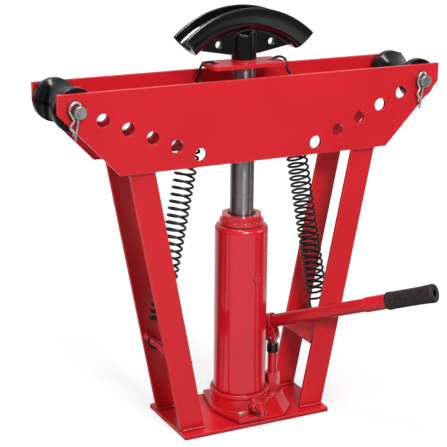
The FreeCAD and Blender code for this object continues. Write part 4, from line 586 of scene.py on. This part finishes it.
def spring_stations():
    """Places and directions along the right-hand spring, in mm, from its ring to its hook."""
    # the coil's axis runs beside the leg's line, from its first turn to its last
    foot = Vector((LEG_FOOT + LEG_SLOPE * (COIL_LOW - FLOOR_TOP) + COIL_OUT, 0, COIL_LOW))
    crest = Vector((67.2, 0, 513))
    axis = (crest - foot).normalized()
    outward = Vector((axis.z, 0, -axis.x))
    # the ring and the hook hang on the edges of their holes, EDGE_GAP off them
    bearing = HOOK - WIRE / 2 - EDGE_GAP
    ring = (cross_inner + cross_out * RING_ALONG
            + cross_up * math.sqrt(bearing ** 2 - RING_TO_HOLE ** 2))
    stations = []
    for angle in (25, -20, -65, -110, -145, -180):
        turn = math.radians(angle)
        stations.append((ring + Vector((math.cos(turn), 0, math.sin(turn))) * HOOK,
                         Vector((math.sin(turn), 0, -math.cos(turn)))))
    # the wire leaves the ring along the coil's axis and runs into the first turn
    stations.append((foot - outward * (COIL + 0.6) - axis * 6.5, axis))
    begin, finish = math.radians(204), math.radians(-90 + 360 * TURNS)
    climb = (crest - foot).length / (finish - begin)
    steps = round((finish - begin) / STEP)
    for step in range(steps + 1):
        turn = begin + (finish - begin) * step / steps
        round_way = outward * -math.sin(turn) + Vector((0, math.cos(turn), 0))
        spot = (foot + outward * (COIL * math.cos(turn)) + Vector((0, COIL * math.sin(turn), 0))
                + axis * (climb * (turn - begin)))
        stations.append((spot, (round_way * COIL + axis * climb).normalized()))
    # up the outer side of the bracket's end, over it in a flattened arc, and down its hole
    rise = BRACKET_TOP - math.sqrt(bearing ** 2 - (HOOK - BRACKET_HOLE_RADIUS) ** 2)
    stations.append((Vector((BRACKET_HOLE_X + 2 * HOOK, 0, rise - HOOK_STUB)),
                     Vector((0, 0, 1))))
    for angle in (0, 45, 90, 135, 180):
        along, up = math.cos(math.radians(angle)), math.sin(math.radians(angle))
        stations.append((Vector((BRACKET_HOLE_X + HOOK * (1 + along), 0, rise + HOOK_RISE * up)),
                         Vector((-HOOK * up, 0, HOOK_RISE * along)).normalized()))
    stations.append((Vector((BRACKET_HOLE_X, 0, rise - HOOK_STUB)), Vector((0, 0, -1))))
    return stations


def wire_path(name, stations, half_turn):
    """A Bezier path through stations, whose handles make each span a true arc."""
    curve = bpy.data.curves.new(name, "CURVE")
    curve.dimensions, curve.resolution_u = "3D", 3
    spline = curve.splines.new("BEZIER")
    spline.bezier_points.add(len(stations) - 1)
    turn = Matrix.Rotation(math.pi if half_turn else 0, 3, "Z")
    for index, (spot, way) in enumerate(stations):
        point = spline.bezier_points[index]
        point.handle_left_type = point.handle_right_type = "FREE"
        point.co = turn @ spot * MM
        for handle, other, sign in (("handle_left", index - 1, -1), ("handle_right", index + 1, 1)):
            reach = 1.0
            if 0 <= other < len(stations):
                chord = (stations[other][0] - spot).length
                bend = way.angle(stations[other][1])
                straight = bend < 1e-4
                reach = chord / 3 if straight else (
                    chord * 2 / 3 * math.tan(bend / 4) / math.sin(bend / 2))
            setattr(point, handle, turn @ (spot + way * (sign * reach)) * MM)
    source = bpy.data.objects.new(name, curve)
    bpy.context.scene.collection.objects.link(source)
    return source


spring_black = black_enamel("black dip on spring wire", "#040404", "#202022", 1.5, 0.02, 0.4, 0.0)
drawn_wire = wire_tree()
for side, half_turn in (("left", True), ("right", False)):
    path = wire_path("spring_path_" + side, spring_stations(), half_turn)
    spring = run_tree(drawn_wire, path, "return_spring_%s_wire" % side,
                      Wire_radius=WIRE / 2 * MM, Sides=10, Finish=spring_black)
    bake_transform(spring, "frame", "ram", start=(0, 0, STILL_BELOW * MM), end=(0, 0, RIDES_ABOVE * MM))
    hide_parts("return_spring_" + side)

# Pump. A hexagon bar turned down to a long neck and painted red, with a black gland nut, and a
# polished plunger whose flat eye takes the lever's pin.
eased("pump_cylinder", "frame", tube_paint, 0.5)
gland_black = black_enamel("black oxide on turned steel", "#0C0C0E", "#4A4A4C",
                           1.0, 0.02, 0.32, 0.1)
coat(gland_black, "pump_nut")
coat(ram_steel, "pump_plunger")

# Fulcrum arm and lever. The arm is flat bar, the lever a steel casting with two cheeks and the
# socket for the handle. Both are painted red; their pins are bare turned steel.
eased("fulcrum_arm", "frame", powder_coat, 0.6)
cast_form("pump_lever", "lever", cast_paint, 0.6, 3)
coat(honed, "foot_pin", "fulcrum_pin", "plunger_pin")

# Handle. Two drawn tubes that slide into one another, sprayed red outside. Inside they keep the
# dark scale of the mill. Their axis is the one they slide on, through the middle of the grip.
handle_way = next(Vector(joint["axis"]) for joint in frame["joints"]
                  if joint["name"] == "handle_pull_out")
grip_low, grip_high = (Vector(corner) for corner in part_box("handle_grip"))
grip_middle = (grip_low + grip_high) / 2
handle_paint = red_paint("red enamel on the handle tubes", "#C81020", "#EE7880",
                         4.0, 0.02, 0.3, 0.3)
coat(handle_paint, "handle_lower_tube", "handle_upper_tube")
mill_scale = black_enamel("dark mill scale inside the tubes", "#141314", "#2A2829",
                          1.5, 0.03, 0.5, 0.0)
for tube in ("handle_lower_tube", "handle_upper_tube"):
    mesh = parts[tube].data
    mesh.materials.append(mill_scale)
    for face in mesh.polygons:
        from_grip = face.center - grip_middle
        from_axis = from_grip - handle_way * from_grip.dot(handle_way)
        if face.normal.dot(from_axis) < -0.5 * from_axis.length:
            face.material_index = 1

# Grip. Moulded rubber pushed on the upper tube: a rounded mouth, a pebbled skin for the hand,
# and a flat end with a sunk ring round its hole.
GRIP_LENGTH = 76.5
grip_profile = [(11.4, 0.6), (12.0, 0.2), (12.8, 0.5), (13.3, 1.6), (13.5, 3.2), (13.3, 6.0),
                (13.0, 10.0), (12.95, 30.0), (13.0, 50.0), (13.3, 62.0), (13.7, 70.0),
                (13.8, 73.0), (13.5, 75.2), (12.7, 76.3), (11.4, 76.6), (9.6, 76.5),
                (9.2, 75.9), (6.8, 75.6), (6.4, 76.2), (5.4, 76.2), (5.0, 75.6), (5.0, 73.6),
                (11.4, 73.6)]


def turned(name, profile, root, way, sides):
    """A closed outline of (radius, distance) in mm, turned round an axis."""
    shape = bmesh.new()
    across = way.orthogonal().normalized()
    other = way.cross(across)
    turns = [2 * math.pi * step / sides for step in range(sides)]
    rings = [[shape.verts.new((root + way * along + across * (radius * math.cos(turn))
                               + other * (radius * math.sin(turn))) * MM) for turn in turns]
             for radius, along in profile]
    for index, ring in enumerate(rings):
        after = rings[(index + 1) % len(rings)]
        for step in range(sides):
            following = (step + 1) % sides
            shape.faces.new((ring[step], ring[following], after[following], after[step]))
    bmesh.ops.recalc_face_normals(shape, faces=shape.faces)
    mesh = bpy.data.meshes.new(name)
    shape.to_mesh(mesh)
    shape.free()
    mesh.polygons.foreach_set("use_smooth", [True] * len(mesh.polygons))
    piece = bpy.data.objects.new(name, mesh)
    bpy.context.scene.collection.objects.link(piece)
    return piece


grip_rubber = rubber("moulded grip rubber", "#070506", "#120E10", 0.55, 2.0, 0.35, "#3A3034")
grip = turned("handle_grip_moulded", grip_profile,
              grip_middle / MM - handle_way * (GRIP_LENGTH / 2), handle_way, 64)
grip.data.materials.append(grip_rubber)
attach(grip, "upper handle")
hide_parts("handle_grip")

# Release valve. A packing nut and a spindle with a screwdriver slot, screwed into the casting
# and painted with it.
eased("valve_nut", "frame", cast_paint, 0.6)
coat(cast_paint, "release_valve")

# Floor. A plain pale paper sweep that runs out to white. In reflections it is brightest behind
# and in front of the object. On either side there are a wide and a narrow dark band with a grey
# one between them, which give paint and steel their upright streaks.
FRONT = (-0.5, -0.866, 0)
floor_mesh = bpy.data.meshes.new("floor")
floor_mesh.from_pydata([(-9, -9, 0), (9, -9, 0), (9, 9, 0), (-9, 9, 0)], [], [(0, 1, 2, 3)])
floor = bpy.data.objects.new("floor", floor_mesh)
bpy.context.scene.collection.objects.link(floor)


def studio(tree, way, levels):
    """Grey levels of the studio round the object, from behind it (0) to in front of it (1).

    The levels at 0 and 1 come first, then those in between.
    """
    level_way = add(tree, "ShaderNodeVectorMath", {0: way, 1: (1, 1, 0)}, operation="MULTIPLY")
    level_way = add(tree, "ShaderNodeVectorMath", {0: level_way.outputs[0]}, operation="NORMALIZE")
    facing = add(tree, "ShaderNodeVectorMath", {0: level_way.outputs[0], 1: FRONT},
                 operation="DOT_PRODUCT")
    spread = add(tree, "ShaderNodeMapRange", {
        "Value": facing.outputs["Value"], "From Min": -1, "From Max": 1})
    ramp = add(tree, "ShaderNodeValToRGB", {"Fac": spread.outputs[0]})
    stops = ramp.color_ramp.elements
    for index, (place, level) in enumerate(levels):
        stop = stops[index] if index < 2 else stops.new(place)
        stop.position, stop.color = place, (level, level, level, 1)
    return ramp.outputs["Color"]


def rays(tree):
    """Two switches: 1 where a reflection looks, and 1 where the camera looks."""
    ray = add(tree, "ShaderNodeLightPath").outputs
    reflected = add(tree, "ShaderNodeMath", {
        0: ray["Is Glossy Ray"], 1: ray["Is Transmission Ray"]}, operation="MAXIMUM")
    return reflected.outputs[0], ray["Is Camera Ray"]


paper = bpy.data.materials.new("white paper sweep")
paper.use_nodes = True
tree = paper.node_tree
tree.nodes.clear()
in_mirror, in_camera = rays(tree)
place = add(tree, "ShaderNodeTexCoord").outputs["Object"]
away = add(tree, "ShaderNodeVectorMath", {0: place}, operation="LENGTH")
# for the camera it runs out to white between 0.35 and 1.4 m, and keeps the object's shadow
white_out = add(tree, "ShaderNodeMapRange", {
    "Value": away.outputs["Value"], "From Min": 0.35, "From Max": 1.4,
    "To Min": 0.7, "To Max": 1.0})
dull = add(tree, "ShaderNodeBsdfDiffuse", {"Color": from_hex("#A4A4A4")})
glow = add(tree, "ShaderNodeEmission", {
    "Color": (1, 1, 1, 1), "Strength": white_out.outputs[0]})
lit = add(tree, "ShaderNodeAddShader", {0: dull.outputs[0], 1: glow.outputs[0]})
# in a mirror it dims between 1.2 and 2.1 m
dimmed = add(tree, "ShaderNodeMapRange", {
    "Value": away.outputs["Value"], "From Min": 1.2, "From Max": 2.1,
    "To Min": 1.0, "To Max": 0.2})
mirrored = add(tree, "ShaderNodeEmission", {"Strength": dimmed.outputs[0], "Color": studio(
    tree, place, ((0.0, 0.9), (1.0, 0.65), (0.28, 0.6), (0.36, 0.03), (0.52, 0.03),
                  (0.55, 0.4), (0.63, 0.4), (0.66, 0.08), (0.71, 0.08), (0.74, 0.65)))})
plain = add(tree, "ShaderNodeMixShader", {
    0: in_mirror, 1: dull.outputs[0], 2: mirrored.outputs[0]})
surface = add(tree, "ShaderNodeMixShader", {0: in_camera, 1: plain.outputs[0], 2: lit.outputs[0]})
add(tree, "ShaderNodeOutputMaterial", {"Surface": surface.outputs[0]})
floor_mesh.materials.append(paper)

# Room. White for the camera, a weak even light on the object, and in reflections the same bands
# as the floor's, a little darker.
world = bpy.data.worlds.new("studio")
bpy.context.scene.world = world
world.use_nodes = True
tree = world.node_tree
tree.nodes.clear()
in_mirror, in_camera = rays(tree)
way = add(tree, "ShaderNodeTexCoord").outputs["Generated"]
ambient = add(tree, "ShaderNodeBackground", {"Color": (1, 1, 1, 1), "Strength": 0.2})
mirrored = add(tree, "ShaderNodeBackground", {"Strength": 1.0, "Color": studio(
    tree, way, ((0.0, 0.6), (1.0, 0.4), (0.28, 0.4), (0.36, 0.02), (0.52, 0.02),
                (0.55, 0.25), (0.63, 0.25), (0.66, 0.04), (0.71, 0.04), (0.74, 0.4)))})
white = add(tree, "ShaderNodeBackground", {"Color": (1, 1, 1, 1), "Strength": 1.0})
plain = add(tree, "ShaderNodeMixShader", {
    0: in_mirror, 1: ambient.outputs[0], 2: mirrored.outputs[0]})
sky = add(tree, "ShaderNodeMixShader", {0: in_camera, 1: plain.outputs[0], 2: white.outputs[0]})
add(tree, "ShaderNodeOutputWorld", {"Surface": sky.outputs[0]})


# Lights. The key light stands high at the front left, a weaker one low at the far left, which
# no reflection shows, and a weak one at the right. A strip overhead edges the plates.
def soft_light(name, spot, aim, width, height, watts, mirrored=True):
    """A rectangular soft box at a spot, turned to what it lights."""
    lamp = bpy.data.lights.new(name, "AREA")
    lamp.shape, lamp.size, lamp.size_y, lamp.energy = "RECTANGLE", width, height, watts
    light = bpy.data.objects.new(name, lamp)
    light.location = spot
    light.visible_glossy = mirrored
    light.rotation_mode = "QUATERNION"
    light.rotation_quaternion = (Vector(aim) - Vector(spot)).to_track_quat("-Z", "Y")
    bpy.context.scene.collection.objects.link(light)


MIDDLE = (0, 0, 0.3)
soft_light("key light", (-0.2, -2.4, 1.9), MIDDLE, 0.7, 0.7, 54)
soft_light("side light", (-2.4, 0.2, 0.9), MIDDLE, 0.6, 1.4, 24, mirrored=False)
soft_light("fill light", (1.9, -1.0, 0.9), MIDDLE, 0.8, 1.4, 7)
soft_light("overhead strip", (-0.3, -0.1, 2.3), (0, 0, 0.4), 1.3, 0.28, 18)

# Camera. It looks along +Y from the left and from above with a long lens, rolled a little, at
# the place that fits the photograph's frame of 447 pixels.
azimuth, elevation, roll = math.radians(-26.80), math.radians(16.876), math.radians(0.60)
FOCAL_PX, FRAME_PX, SENSOR = 1381.284, 447, 36
DISTANCE, AIM = 2.02143, Vector((-0.029678, 0, 0.301804))
back = Vector((math.sin(azimuth) * math.cos(elevation), -math.cos(azimuth) * math.cos(elevation),
               math.sin(elevation)))
level = (-back).cross(Vector((0, 0, 1))).normalized()
upright = level.cross(-back)
across = level * math.cos(roll) + upright * math.sin(roll)
upward = upright * math.cos(roll) - level * math.sin(roll)
lens = bpy.data.cameras.new("camera")
lens.sensor_width, lens.lens = SENSOR, FOCAL_PX / FRAME_PX * SENSOR
camera = bpy.data.objects.new("camera", lens)
turn = Matrix((across, upward, back)).transposed().to_4x4()
camera.matrix_world = Matrix.Translation(AIM + back * DISTANCE) @ turn
bpy.context.scene.collection.objects.link(camera)
bpy.context.scene.camera = camera
bpy.context.scene.view_settings.view_transform = "Standard"
